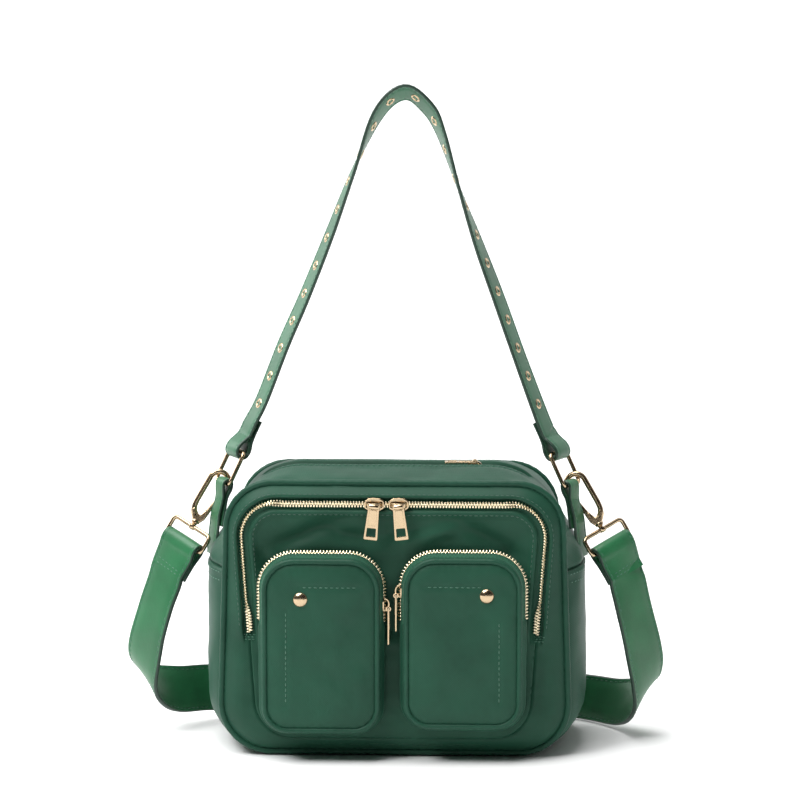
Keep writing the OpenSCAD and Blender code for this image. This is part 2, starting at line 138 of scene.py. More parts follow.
def leather(name, col, rough=0.4, grain=900.0, bump=0.35, dark=0.8, light=1.14):
    """Smooth coated leather: fine cells, soft creases, slightly uneven colour and gloss."""
    m, nt, b = new_mat(name)
    co = coords(nt)
    v = node(nt, "ShaderNodeTexVoronoi", Scale=grain)
    nt.links.new(co, v.inputs["Vector"])
    n = node(nt, "ShaderNodeTexNoise", Scale=grain * 0.35, Detail=4.0, Roughness=0.6)
    nt.links.new(co, n.inputs["Vector"])
    big = node(nt, "ShaderNodeTexNoise", Scale=30.0, Detail=3.0, Roughness=0.55)
    nt.links.new(co, big.inputs["Vector"])
    add = node(nt, "ShaderNodeMath", operation="ADD")
    nt.links.new(v.outputs["Distance"], add.inputs[0])
    nt.links.new(n.outputs["Fac"], add.inputs[1])
    bp = node(nt, "ShaderNodeBump", Strength=bump, Distance=0.00008)
    nt.links.new(add.outputs[0], bp.inputs["Height"])
    nt.links.new(bp.outputs["Normal"], b.inputs["Normal"])
    base = ramp(nt, big.outputs["Fac"], [(0.3, [x * dark for x in col]), (0.7, [x * light for x in col])])
    mixc = node(nt, "ShaderNodeMix", data_type="RGBA", blend_type="MULTIPLY")
    mixc.inputs["Factor"].default_value = 0.25
    nt.links.new(base, mixc.inputs[6])
    nt.links.new(ramp(nt, v.outputs["Distance"], [(0.0, (0.6, 0.6, 0.6)), (0.5, (1.1, 1.1, 1.1))]), mixc.inputs[7])
    nt.links.new(mixc.outputs[2], b.inputs["Base Color"])
    rr = node(nt, "ShaderNodeMapRange")
    rr.inputs["To Min"].default_value = rough - 0.07
    rr.inputs["To Max"].default_value = rough + 0.09
    nt.links.new(n.outputs["Fac"], rr.inputs["Value"])
    nt.links.new(rr.outputs["Result"], b.inputs["Roughness"])
    b.inputs["Specular IOR Level"].default_value = 0.45
    b.inputs["Sheen Weight"].default_value = 0.08
    return m


def metal(name, col, rough=0.16, wear=0.1):
    """Plated metal: fine brushing, faint tarnish and polish in random patches."""
    m, nt, b = new_mat(name)
    co = coords(nt)
    n = node(nt, "ShaderNodeTexNoise", Scale=260.0, Detail=5.0, Roughness=0.65)
    nt.links.new(co, n.inputs["Vector"])
    f = node(nt, "ShaderNodeTexNoise", Scale=2600.0, Detail=2.0, Roughness=0.5)
    nt.links.new(co, f.inputs["Vector"])
    base = ramp(nt, n.outputs["Fac"], [(0.25, [x * (1 - wear) for x in col]), (0.7, [min(1, x * 1.04) for x in col])])
    nt.links.new(base, b.inputs["Base Color"])
    rr = node(nt, "ShaderNodeMapRange")
    rr.inputs["To Min"].default_value = rough - 0.05
    rr.inputs["To Max"].default_value = rough + 0.10
    nt.links.new(n.outputs["Fac"], rr.inputs["Value"])
    nt.links.new(rr.outputs["Result"], b.inputs["Roughness"])
    bp = node(nt, "ShaderNodeBump", Strength=0.05, Distance=0.00003)
    nt.links.new(f.outputs["Fac"], bp.inputs["Height"])
    nt.links.new(bp.outputs["Normal"], b.inputs["Normal"])
    b.inputs["Metallic"].default_value = 1.0
    return m


def thread(name, col):
    m, nt, b = new_mat(name)
    co = coords(nt)
    w = node(nt, "ShaderNodeTexNoise", Scale=2500.0, Detail=2.0)
    nt.links.new(co, w.inputs["Vector"])
    nt.links.new(ramp(nt, w.outputs["Fac"], [(0.3, [x * 0.7 for x in col]), (0.7, [x * 1.2 for x in col])]), b.inputs["Base Color"])
    bp = node(nt, "ShaderNodeBump", Strength=0.5, Distance=0.0001)
    nt.links.new(w.outputs["Fac"], bp.inputs["Height"])
    nt.links.new(bp.outputs["Normal"], b.inputs["Normal"])
    b.inputs["Roughness"].default_value = 0.55
    b.inputs["Sheen Weight"].default_value = 0.3
    return m


GREEN = (0.0125, 0.064, 0.037)
M_NYLON = fabric("nylon_twill", GREEN)
M_NYLON_PIPE = fabric("nylon_piping", (0.0125, 0.063, 0.037), period=0.5, rough=0.46, sheen=0.05)
M_TAPE = fabric("zip_tape", (0.018, 0.085, 0.048), period=0.9, rough=0.6, sheen=0.15, weave=0.7)
M_LEATHER = leather("strap_leather", (0.012, 0.122, 0.043))
M_LEATHER2 = leather("shoulder_leather", (0.022, 0.120, 0.055), rough=0.42)
# dark edge paint of the leather; the same dark colour is also the painted shade plugged inside the eyelet holes
M_EDGE_PAINT_AND_HOLE_SHADE = leather("leather_edge_paint_and_hole_shade", (0.008, 0.036, 0.020), rough=0.35, grain=1500.0, bump=0.2)
M_GOLD = metal("light_gold", (0.54, 0.41, 0.26), rough=0.2)
M_TEETH = metal("zip_teeth", (0.88, 0.76, 0.53), rough=0.25)
M_THREAD = thread("thread_green", (0.032, 0.145, 0.085))
M_THREAD_D = thread("thread_dark", (0.022, 0.085, 0.052))
M_LINING = fabric("lining_cloth", (0.030, 0.036, 0.033), period=0.8, rough=0.7, sheen=0.2)
M_BOARD = fabric("base_board", (0.20, 0.17, 0.13), period=1.5, rough=0.8, sheen=0.0, diag=False)


# ------------------------------------------------------------------ geometry helpers (millimetres)
class Geo:
    def __init__(self):
        self.v, self.f, self.m, self.n = [], [], [], 0

    def add(self, v, f, m=0):
        v = np.asarray(v, float).reshape(-1, 3)
        self.v.append(v)
        self.f += [tuple(int(i) + self.n for i in q) for q in f]
        self.m += list(m) if isinstance(m, (list, np.ndarray)) else [m] * len(f)
        self.n += len(v)
        return self

    def obj(self, name, body, mats, replaces=(), smooth=True, sharp=None, solid=None, fix=True, blend=None, bevel=None):
        me = bpy.data.meshes.new(name)
        v = np.concatenate(self.v) * MM
        me.from_pydata([tuple(p) for p in v], [], self.f)
        for mt in mats:
            me.materials.append(mt)
        me.polygons.foreach_set("material_index", self.m)
        me.polygons.foreach_set("use_smooth", [smooth] * len(me.polygons))
        me.update()
        if fix:
            import bmesh
            bm = bmesh.new()
            bm.from_mesh(me)
            bmesh.ops.recalc_face_normals(bm, faces=bm.faces[:])
            bm.to_mesh(me)
            bm.free()
        if sharp is not None:
            me.set_sharp_from_angle(angle=math.radians(sharp))
        o = bpy.data.objects.new(name, me)
        bpy.context.scene.collection.objects.link(o)
        if solid is not None:
            s = o.modifiers.new("thick", "SOLIDIFY")
            s.thickness = solid * MM
            s.offset = -1
        if blend:
            a, b, s0, e0 = blend
            tuple(x * MM for x in s0)
            tuple(x * MM for x in e0)
            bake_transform(o)
        else:
            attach(o, body)
        if replaces:
            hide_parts(*replaces)
        return o


def unit(a):
    a = np.asarray(a, float)
    return a / np.maximum(np.linalg.norm(a, axis=-1, keepdims=True), 1e-12)


def sm(a, b, x):
    t = np.clip((np.asarray(x, float) - a) / (b - a), 0, 1)
    return t * t * (3 - 2 * t)


def hull_outline(circs, t=0.0, n=720):
    """Closed outline round the hull of circles (x, z, r), pulled in by t."""
    th = np.linspace(0, 2 * np.pi, n, endpoint=False) - np.pi / 2
    u = np.stack([np.cos(th), np.sin(th)], 1)
    c = np.array([[a[0], a[1]] for a in circs], float)
    r = np.array([a[2] for a in circs], float) - t
    s = c @ u.T + r[:, None]
    k = s.argmax(0)
    return c[k] + u * r[k][:, None]


def from_bottom(p, cx):
    """Starts a closed outline (anticlockwise seen from the front) at the bottom, at x = cx."""
    q = np.vstack([p, p[:1]])
    best = None
    for i in range(len(p)):
        a, b = q[i], q[i + 1]
        if (a[0] - cx) * (b[0] - cx) <= 0 and a[0] != b[0]:
            t = (cx - a[0]) / (b[0] - a[0])
            z = a[1] + t * (b[1] - a[1])
            if best is None or z < best[0]:
                best = (z, i)
    z, i = best
    return np.vstack([[cx, z], np.roll(p, -(i + 1), axis=0)])


def arc(p, closed=False):
    q = np.vstack([p, p[:1]]) if closed else p
    return q, np.r_[0, np.cumsum(np.linalg.norm(np.diff(q, axis=0), axis=1))]


def resample(p, n, closed=False):
    q, d = arc(np.asarray(p, float), closed)
    m = np.linspace(0, d[-1], n, endpoint=not closed)
    return np.stack([np.interp(m, d, q[:, i]) for i in range(q.shape[1])], 1)


def at_len(p, s):
    q, d = arc(np.asarray(p, float))
    return np.stack([np.interp(s, d, q[:, i]) for i in range(q.shape[1])], -1)


def sdist(pts, poly):
    """Distance from a closed convex outline, positive inside."""
    a = poly
    b = np.roll(poly, -1, axis=0)
    ab = b - a
    L2 = (ab ** 2).sum(1) + 1e-12
    out = np.empty(len(pts))
    for i in range(0, len(pts), 4000):
        p = pts[i:i + 4000]
        ap = p[:, None] - a[None]
        t = np.clip((ap * ab).sum(2) / L2, 0, 1)
        d = np.linalg.norm(ap - t[..., None] * ab, axis=2).min(1)
        cr = (ab[None, :, 0] * ap[..., 1] - ab[None, :, 1] * ap[..., 0]) / np.sqrt(L2)
        out[i:i + 4000] = np.where(cr.min(1) > -1e-9, d, -d)
    return out


def region(outer, holes=(), rings=(), h=2.2):
    """Triangle mesh of a flat region: its edges and the rings are kept, the rest is a staggered grid."""
    pts, edges = [], []
    loops = [outer] + list(holes) + list(rings)
    for lp in loops:
        b = len(pts)
        pts += [tuple(p) for p in lp]
        edges += [(b + i, b + (i + 1) % len(lp)) for i in range(len(lp))]
    lo, hi = outer.min(0), outer.max(0)
    g = []
    z = lo[1]
    k = 0
    while z < hi[1]:
        xs = np.arange(lo[0] + (h / 2 if k % 2 else 0), hi[0], h)
        g.append(np.stack([xs, np.full(len(xs), z)], 1))
        z += h * 0.87
        k += 1
    g = np.vstack(g)
    keep = sdist(g, outer) > h * 0.55
    for hl in holes:
        keep &= sdist(g, hl) < -h * 0.55
    for r in rings:
        keep &= np.abs(sdist(g, r)) > h * 0.55
    g = g[keep]
    pts += [tuple(p) for p in g]
    vs, _, fs, _, _, _ = delaunay_2d_cdt([Vector(p) for p in pts], edges, [], 0, 1e-6)
    v = np.array([(p.x, p.y) for p in vs])
    f = np.array([tuple(q) for q in fs if len(q) == 3])
    c = v[f].mean(1)
    ok = sdist(c, outer) > 0
    for hl in holes:
        ok &= sdist(c, hl) < 0
    f = f[ok]
    used = np.unique(f)
    idx = -np.ones(len(v), int)
    idx[used] = np.arange(len(used))
    return v[used], idx[f]


def fbm(p, scale, seed=0.0, octaves=2):
    out = np.empty(len(p))
    for i, q in enumerate(p):
        out[i] = noise.fractal(Vector((q[0] / scale + seed, q[1] / scale, q[2] / scale)), 0.9, 2.1, octaves)
    return out


def frames(path, across=None, closed=False):
    P = np.asarray(path, float)
    if closed:
        T = unit(np.roll(P, -1, 0) - np.roll(P, 1, 0))
    else:
        T = unit(np.vstack([P[1:2] - P[:1], P[2:] - P[:-2], P[-1:] - P[-2:-1]]))
    if across is None:
        A = np.empty_like(P)
        r = np.array([0, 0, 1.0]) if abs(T[0][2]) < 0.9 else np.array([0, 1.0, 0])
        a = unit(r - T[0] * (r @ T[0]))
        for i in range(len(P)):
            a = unit(a - T[i] * (a @ T[i]))
            A[i] = a
    else:
        across = np.broadcast_to(np.asarray(across, float), P.shape)
        A = unit(across - T * (across * T).sum(1, keepdims=True))
    return T, A, np.cross(T, A)


def sweep(path, prof, across=None, closed=False, scale=None, caps=True):
    """Sweeps a closed profile (a along 'across', b along the other way) on a path."""
    P = np.asarray(path, float)
    T, A, B = frames(P, across, closed)
    pr = np.asarray(prof, float)
    m = len(pr)
    n = len(P)
    sc = np.ones(n) if scale is None else np.asarray(scale, float)
    v = (P[:, None] + A[:, None] * (pr[None, :, 0:1] * sc[:, None, None]) + B[:, None] * (pr[None, :, 1:2] * sc[:, None, None])).reshape(-1, 3)
    f = []
    for i in range(n if closed else n - 1):
        a0, b0 = i * m, ((i + 1) % n) * m
        for k in range(m):
            k2 = (k + 1) % m
            f.append((a0 + k, b0 + k, b0 + k2, a0 + k2))
    if caps and not closed:
        f.append(tuple(range(m)))
        f.append(tuple((n - 1) * m + k for k in range(m - 1, -1, -1)))
    return v, f


def circle(r, n=12, r2=None):
    t = np.linspace(0, 2 * np.pi, n, endpoint=False)
    return np.stack([np.cos(t) * r, np.sin(t) * (r2 or r)], 1)


def tube(path, r, n=12, closed=False, scale=None, r2=None, across=None):
    return sweep(path, circle(r, n, r2), across, closed, scale)


def grid_faces(n, m, closed_m=False, closed_n=False):
    f = []
    for i in range(n if closed_n else n - 1):
        for j in range(m if closed_m else m - 1):
            i2, j2 = (i + 1) % n, (j + 1) % m
            f.append((i * m + j, i2 * m + j, i2 * m + j2, i * m + j2))
    return f


def stitches(geo, path, up, length=2.5, gap=1.3, r=0.34, lift=0.12, m=0, skip=1.0):
    """Short rounded threads that dive into the surface at their ends."""
    path = np.asarray(path, float)
    up = np.broadcast_to(np.asarray(up, float), path.shape)
    d = np.r_[0, np.cumsum(np.linalg.norm(np.diff(path, axis=0), axis=1))]
    n = max(1, int((d[-1] - 2 * skip) / (length + gap)))
    pad = (d[-1] - n * (length + gap) + gap) / 2
    w = circle(1.0, 6)
    rr = np.array([0.25, 0.85, 1.0, 0.85, 0.25]) * r
    hh = np.array([-0.25, 0.1, 0.22, 0.1, -0.25]) * (lift / 0.22)
    for i in range(n):
        s = pad + i * (length + gap) + np.linspace(0, length, 5)
        P = np.stack([np.interp(s, d, path[:, k]) for k in range(3)], 1)
        U = unit(np.stack([np.interp(s, d, up[:, k]) for k in range(3)], 1))
        T = unit(P[-1] - P[0])
        A = unit(np.cross(U, T))
        P = P + U * hh[:, None]
        v = (P[:, None] + A[:, None] * (w[None, :, 0:1] * rr[:, None, None]) + U[:, None] * (w[None, :, 1:2] * rr[:, None, None])).reshape(-1, 3)
        f = grid_faces(5, 6, closed_m=True) + [tuple(range(6)), tuple(24 + k for k in range(5, -1, -1))]
        geo.add(v, f, m)


def tooth_shape(a, b, h):
    """A bevelled zip tooth: a along the zip, b across it, h high."""
    c = 0.32 * min(a, b)
    ring = np.array([(a / 2, -b / 2 + c), (a / 2, b / 2 - c), (a / 2 - c, b / 2), (-a / 2 + c, b / 2), (-a / 2, b / 2 - c), (-a / 2, -b / 2 + c), (-a / 2 + c, -b / 2), (a / 2 - c, -b / 2)])
    rows = [(0.0, 0.94), (0.25 * h, 1.0), (0.72 * h, 0.95), (0.93 * h, 0.78), (h, 0.5)]
    v = np.array([(x * s, y * s, z) for z, s in rows for x, y in ring])
    f = grid_faces(len(rows), 8, closed_m=True) + [tuple(range(7, -1, -1)), tuple((len(rows) - 1) * 8 + k for k in range(8))]
    return v, f


def zip_teeth(geo, path, up, pitch=1.93, a=1.25, b=2.9, h=1.5, amp=0.85, m=0, base=0.0):
    path = np.asarray(path, float)
    up = np.broadcast_to(np.asarray(up, float), path.shape)
    d = np.r_[0, np.cumsum(np.linalg.norm(np.diff(path, axis=0), axis=1))]
    v0, f0 = tooth_shape(a, b, h)
    for row in (0, 1):
        s = np.arange(0.6 + row * pitch / 2, d[-1] - 0.5, pitch)
        P = np.stack([np.interp(s, d, path[:, k]) for k in range(3)], 1)
        P2 = np.stack([np.interp(s + 0.4, d, path[:, k]) for k in range(3)], 1)
        P1 = np.stack([np.interp(s - 0.4, d, path[:, k]) for k in range(3)], 1)
        U = unit(np.stack([np.interp(s, d, up[:, k]) for k in range(3)], 1))
        T = unit(P2 - P1)
        A = unit(np.cross(U, T))
        U2 = np.cross(T, A)
        for p, t, c, u in zip(P, T, A, U2):
            q = p + c * (amp if row else -amp) + u * base
            geo.add(q + v0[:, 0:1] * t + v0[:, 1:2] * c + v0[:, 2:3] * u, f0, m)


def lathe(prof, n=32):
    """Turned shape about Z from (r, z) points; a point with r = 0 closes it."""
    v, f = [], []
    rings = []
    for r, z in prof:
        if r < 1e-6:
            rings.append([len(v)])
            v.append((0, 0, z))
        else:
            rings.append(list(range(len(v), len(v) + n)))
            v += [(r * math.cos(2 * math.pi * k / n), r * math.sin(2 * math.pi * k / n), z) for k in range(n)]
    for a, b in zip(rings, rings[1:]):
        for k in range(n):
            k2 = (k + 1) % n
            if len(a) == 1 and len(b) == 1:
                continue
            if len(a) == 1:
                f.append((a[0], b[k], b[k2]))
            elif len(b) == 1:
                f.append((a[k], b[0], a[k2]))
            else:
                f.append((a[k], b[k], b[k2], a[k2]))
    return np.array(v, float), f


def plate(outline, holes=(), thick=1.2, bevel=0.25, n_bevel=2):
    """A bevelled plate in XZ, its thickness along Y and centred on y = 0."""
    cu = bpy.data.curves.new("tmp_plate", "CURVE")
    cu.dimensions = "2D"
    cu.fill_mode = "BOTH"
    cu.extrude = thick / 2 - bevel
    cu.bevel_depth = bevel
    cu.bevel_resolution = n_bevel
    cu.offset = -bevel
    for lp in [outline] + list(holes):
        sp = cu.splines.new("POLY")
        sp.points.add(len(lp) - 1)
        for p, q in zip(sp.points, lp):
            p.co = (q[0], q[1], 0, 1)
        sp.use_cyclic_u = True
    o = bpy.data.objects.new("tmp_plate", cu)
    bpy.context.scene.collection.objects.link(o)
    dg = bpy.context.evaluated_depsgraph_get()
    me = bpy.data.meshes.new_from_object(o.evaluated_get(dg))
    v = np.array([(p.co.x, p.co.z, p.co.y) for p in me.vertices])
    f = [tuple(p.vertices) for p in me.polygons]
    bpy.data.objects.remove(o)
    bpy.data.curves.remove(cu)
    bpy.data.meshes.remove(me)
    return v, f


def rounded(pts, r, n=6):
    """Rounds the corners of a closed polygon (x, z)."""
    pts = [np.array(p, float) for p in pts]
    out = []
    rs = r if isinstance(r, (list, tuple)) else [r] * len(pts)
    for i, p in enumerate(pts):
        a, b = pts[i - 1], pts[(i + 1) % len(pts)]
        u, w = unit(a - p), unit(b - p)
        half = math.acos(max(-1, min(1, float(u @ w)))) / 2
        d = min(rs[i] / math.tan(half), 0.49 * np.linalg.norm(a - p), 0.49 * np.linalg.norm(b - p))
        for t in np.linspace(0, 1, n):
            out.append((1 - t) ** 2 * (p + u * d) + 2 * t * (1 - t) * p + t * t * (p + w * d))
    return np.array(out)


def xf(v, R=None, t=(0, 0, 0)):
    v = np.asarray(v, float)
    if R is not None:
        v = v @ np.asarray(R).T
    return v + np.asarray(t, float)


def RX(a): a = math.radians(a); c, s = math.cos(a), math.sin(a); return np.array([[1, 0, 0], [0, c, -s], [0, s, c]])
def RY(a): a = math.radians(a); c, s = math.cos(a), math.sin(a); return np.array([[c, 0, s], [0, 1, 0], [-s, 0, c]])
def RZ(a): a = math.radians(a); c, s = math.cos(a), math.sin(a); return np.array([[c, -s, 0], [s, c, 0], [0, 0, 1]])


def mirror_rows(rows):
    return [[-r[0], r[1], r[2], r[3], -r[4], -r[5]] for r in rows]


def route(rows, n):
    a = np.asarray(rows, float)
    out = []
    for i in range(len(a) - 1):
        p, q, r, s = a[max(0, i - 1)], a[i], a[i + 1], a[min(len(a) - 1, i + 2)]
        for k in range(n):
            t = k / n
            out.append(0.5 * (2 * q + (r - p) * t + (2 * p - 5 * q + 4 * r - s) * t * t + (3 * q - p - 3 * r + s) * t ** 3))
    out.append(a[-1])
    return np.array(out)


# ------------------------------------------------------------------ outlines of the bag (x, z, r)
EDGE = [(-82, 36, 32), (82, 36, 32), (-81, 95, 31), (81, 95, 31), (-80, 153, 30), (80, 153, 30)]
BACK = [(-82, 36, 32), (82, 36, 32), (-80, 95, 31), (80, 95, 31), (-75, 149.5, 31), (75, 149.5, 31)]
BELLY = [(-87, 40, 40), (87, 40, 40), (-84, 118, 42), (84, 118, 42), (-61, 137.2, 52), (61, 137.2, 52)]
FP = [(-77.5, 149, 22), (76, 149, 22), (-72.6, 86, 22), (70.5, 88, 22), (-66, 40, 26), (64, 40, 26)]
PKL = [(-65, 116.5, 22), (-30, 116.5, 22), (-69, 38.5, 18), (-26, 38.5, 18)]
PKR = [(63, 117.5, 22), (28, 117.5, 22), (67, 42, 18), (24, 42, 18)]


def lerp_circs(a, b, w):
    return [tuple(x + (y - x) * w for x, y in zip(p, q)) for p, q in zip(a, b)]


# ------------------------------------------------------------------ gusset: the band round the bag
def body_w(y):
    u = min(1.0, abs(y) / 46.0)
    return max(0.0, 1 - u ** 2.4) ** 0.62


def split_outline(circs, t, zs, n1, n2):
    """Outline from the bottom centre anticlockwise, with fixed counts below and above the side seams."""
    p = from_bottom(hull_outline(circs, t, 900), 0.0)
    q, d = arc(p, True)
    # find where z passes the seam on the way up (right side) and down (left side)
    up = next(i for i in range(len(q) - 1) if q[i][1] <= zs < q[i + 1][1])
    dn = next(i for i in range(up + 1, len(q) - 1) if q[i][1] >= zs > q[i + 1][1])
    def cut(i):
        t0 = (zs - q[i][1]) / (q[i + 1][1] - q[i][1])
        return d[i] + t0 * (d[i + 1] - d[i])
    s1, s2 = cut(up), cut(dn)
    s = np.r_[np.linspace(0, s1, n1, endpoint=False), np.linspace(s1, s2, n2, endpoint=False), np.linspace(s2, d[-1], n1 + 1)]
    return np.stack([np.interp(s, d, q[:, k]) for k in range(2)], 1), s


SEAM = 126.0
N1, N2 = 130, 190
ys = np.r_[-46, -45.2, -44, -42, -39.5, -36.5, -33, -29, -25, -21, -17.5, -14.5, -12, -10.2, -9.2, -8.4, -7.6, -6.8, -6.0, -5.4, -4.9, -4.2, -2.5, 0]
ys = np.r_[ys, -ys[:-1][::-1]]
rows = []
for y in ys:
    o, _ = split_outline(lerp_circs(EDGE if y < 0 else BACK, BELLY, body_w(y)), 0.0, SEAM, N1, N2)
    rows.append(np.stack([o[:, 0], np.full(len(o), y), o[:, 1]], 1))
G = np.array(rows)                      # rows along Y, columns round the outline
du = np.gradient(G, axis=1)
dv = np.gradient(G, axis=0)
NRM = unit(np.cross(du, dv))
ctr = np.array([0, 0, 95.0])
if ((G - ctr) * NRM).sum() < 0:
    NRM = -NRM
# the top channel that holds the main zip, and its rolled lips
topmask = 1 - sm(84, 92, np.abs(G[..., 0]))
topmask = topmask * sm(150, 160, G[..., 2])
ay = np.abs(G[..., 1])
chan = -3.4 * (1 - sm(5.0, 6.2, ay)) + 0.7 * np.exp(-((ay - 8.0) / 1.9) ** 2) - 0.4 * sm(8, 30, ay) * (1 - sm(34, 45, ay))
D = chan * topmask
# side seams: the upper gusset folds over the lower one
sd = G[..., 2] - SEAM
side = sm(60, 100, np.abs(G[..., 0]))
D += side * (0.9 * np.exp(-((sd + 2.2) / 2.4) ** 2) - 1.3 * np.exp(-(sd / 0.9) ** 2) + 0.35 * sm(0, 2.5, sd) * (1 - sm(6, 14, sd)))
# soft sag and creases of the cloth
flat = G.reshape(-1, 3)
w1 = fbm(flat, 46.0, 3.1, 2).reshape(G.shape[:2])
w2 = fbm(flat * np.array([1.6, 0.55, 1.0]), 13.0, 9.7, 2).reshape(G.shape[:2])
edgefade = sm(0, 12, 46 - ay)
seatfade = sm(1.0, 14, G[..., 2])
D += (1.3 * w1 + 0.35 * w2) * edgefade * (0.25 + 0.75 * seatfade) * (1 - 0.75 * topmask * (ay < 14)) * (1 - 0.75 * sm(150, 168, G[..., 2]) * sm(2, 10, G[..., 1]))
# puckers along the piping
arcpos = np.linspace(0, 1, G.shape[1])[None, :] * 790
D += 0.22 * np.sin(arcpos / 4.3 + 2.0 * np.sin(arcpos / 17.0)) * np.exp(-((46 - ay) / 6.0) ** 2) * sm(0.3, 1.5, 46 - ay)
# the flat base
G2 = G + NRM * D[..., None]
G2[..., 2] = np.maximum(G2[..., 2], 0.15)

nrow, ncol = G.shape[0], G.shape[1]
def gusset_piece(name, c0, c1, node_name):
    g = Geo()
    sub = G2[:, c0:c1 + 1]
    g.add(sub.reshape(-1, 3), grid_faces(nrow, c1 - c0 + 1))
    o = g.obj(name, "bag", [M_NYLON], replaces=[node_name], solid=1.5, fix=False)
    return o

def outward(o):
    me = o.data
    c = Vector((0, 0, 0.095))
    s = sum((p.center - c).dot(p.normal) for p in me.polygons)
    if s < 0:
        me.flip_normals()
    return o

upper = outward(gusset_piece("upper_gusset_cloth", N1, N1 + N2, "upper_gusset"))
g = Geo()
right = G2[:, :N1 + 1]
left = G2[:, N1 + N2:]
low = np.concatenate([left[:, :-1], right], axis=1)
g.add(low.reshape(-1, 3), grid_faces(nrow, low.shape[1]))
lower = outward(g.obj("lower_gusset_cloth", "bag", [M_NYLON], replaces=["lower_gusset"], solid=1.5, fix=False))

# stitch rows on the gusset: beside the main zip, and under the side seams
gs = Geo()
def surf_line(col_range, yv):
    """A line along the outline at a fixed y, on the finished surface."""
    k = np.searchsorted(ys, yv)
    t = (yv - ys[k - 1]) / (ys[k] - ys[k - 1])
    P = G2[k - 1, col_range] * (1 - t) + G2[k, col_range] * t
    N = NRM[k - 1, col_range] * (1 - t) + NRM[k, col_range] * t
    return P, N
top_cols = [i for i in range(N1, N1 + N2 + 1) if abs(G[len(ys) // 2, i, 0]) < 88 and G[len(ys) // 2, i, 2] > 150]
for yv in (-9.6, 9.6):
    P, N = surf_line(top_cols, yv)
    stitches(gs, P, N, length=2.6, gap=1.2, r=0.32)
for sgn in (-1, 1):
    for dz in (-2.6, -9.0):
        line, nn = [], []
        for j in range(2, nrow - 2):
            cols = np.where((np.sign(G2[j, :, 0]) == sgn) & (np.abs(G2[j, :, 2] - (SEAM + dz)) < 6))[0]
            k = cols[np.argmin(np.abs(G2[j, cols, 2] - (SEAM + dz)))]
            line.append(G2[j, k])
            nn.append(NRM[j, k])
        stitches(gs, line, nn, length=2.6, gap=1.3, r=0.32)
gs.obj("gusset_stitching", "bag", [M_THREAD])

# ------------------------------------------------------------------ piping
for tag, yy, oc in (("front", -45.7, EDGE), ("back", 45.7, BACK)):
    o = from_bottom(hull_outline(oc, -1.0, 720), 0.0)
    o = resample(o, 420, closed=True)
    P = np.stack([o[:, 0], np.full(len(o), yy), o[:, 1]], 1)
    wob = fbm(P, 24.0, 5.0, 2)
    P[:, 1] += 0.35 * wob
    s = 1 + 0.05 * np.sin(np.arange(420) * 1.7 + 2 * np.sin(np.arange(420) * 0.31))
    g = Geo()
    g.add(*sweep(P, circle(2.15, 14), across=(0, 1, 0), closed=True, scale=s))
    g.obj(tag + "_piping_cord", "bag", [M_NYLON_PIPE], replaces=[tag + "_piping"])

# ------------------------------------------------------------------ front: a padded field with the hooped zip's groove
edge_poly = hull_outline(EDGE, 0.4, 360)
fp_poly = hull_outline(FP, 0.0, 360)
GX = np.array([-60, -24, -14, -9, -7.5, -6, -4.6, -3.9, -3.4, -1, 0, 2.6, 3.6, 3.95, 4.2, 5.0, 6.2, 8, 11, 15, 40])
GY = np.array([2.2, 2.0, 1.1, 0.3, -0.6, -1.1, -1.1, 0.6, 2.0, 1.7, 1.5, 1.8, 3.1, 1.4, -0.9, -1.9, -2.0, -1.4, -0.5, 0, 0])


def front_y(v, outer_side):
    de = sdist(v, edge_poly)
    df = -sdist(v, fp_poly)          # positive outside the zip line
    u = np.clip(de / 14.0, 0, 1)
    base = -46.2 - 7.5 * (1 - (1 - u) ** 2)
    fade = sm(77, 87, v[:, 1])
    y = base + np.interp(df, GX, GY) * fade
    # below the zip ends the padded front stays full
    y += -0.8 * (1 - fade) * sm(0, 26, de)
    p3 = np.stack([v[:, 0], np.zeros(len(v)), v[:, 1]], 1)
    soft = sm(2, 14, de) * (1 - np.exp(-((df) / 5.5) ** 2) * fade)
    y += (0.9 * fbm(p3, 38.0, 1.7, 2) + 0.35 * fbm(p3 * np.array([0.6, 1, 1.4]), 12.0, 4.2, 2)) * soft
    # dragged folds of the panel under the zip
    x, z = v[:, 0], v[:, 1]
    for (cx, cz, ang, ln, wd, am) in [(-58, 151, 24, 46, 5.5, 1.5), (-30, 150, -14, 40, 5.0, 1.2), (26, 151, 16, 40, 5.0, -1.2), (58, 150, -28, 44, 5.5, 1.5), (0, 152, 4, 34, 5, 1.0), (72, 132, 62, 30, 4.5, 1.1), (-82, 128, -64, 30, 4.5, 1.0)]:
        a = math.radians(ang)
        uu = (x - cx) * math.cos(a) + (z - cz) * math.sin(a)
        vv = -(x - cx) * math.sin(a) + (z - cz) * math.cos(a)
        y += 2.4 * am * np.exp(-(uu / ln * 2) ** 2 - (vv / wd) ** 2) * sm(3.5, 9, -df) * fade
    return y


def ring_of(circs, t, n, seed=None):
    return resample(hull_outline(circs, t, 720), n, closed=True)


out_rings = [ring_of(FP, -d, 420) for d in (2.6, 3.6, 3.95, 4.2, 5.0, 6.2, 8.0)]
in_rings = [ring_of(FP, d, 400) for d in (1.0, 3.4, 3.9, 4.6, 6.0, 7.5, 9.0)]
mid_ring = ring_of(FP, 0.0, 420)
v, f = region(ring_of(EDGE, 0.4, 360), holes=[mid_ring], rings=out_rings + [ring_of(EDGE, d, 340) for d in (1.4, 3.0, 5.0)], h=2.4)
y = front_y(v, True)
g = Geo()
g.add(np.stack([v[:, 0], y, v[:, 1]], 1), [tuple(q) for q in f])
def faces_front(o, sgn=-1):
    s = sum(p.normal.y * p.area for p in o.data.polygons)
    if s * sgn < 0:
        o.data.flip_normals()
    return o
fpan = faces_front(g.obj("front_panel_cloth", "bag", [M_NYLON], replaces=["front_panel", "front_pocket_wall"], solid=1.4, fix=False))
v, f = region(mid_ring, rings=in_rings, h=2.0)
y = front_y(v, False)
g = Geo()
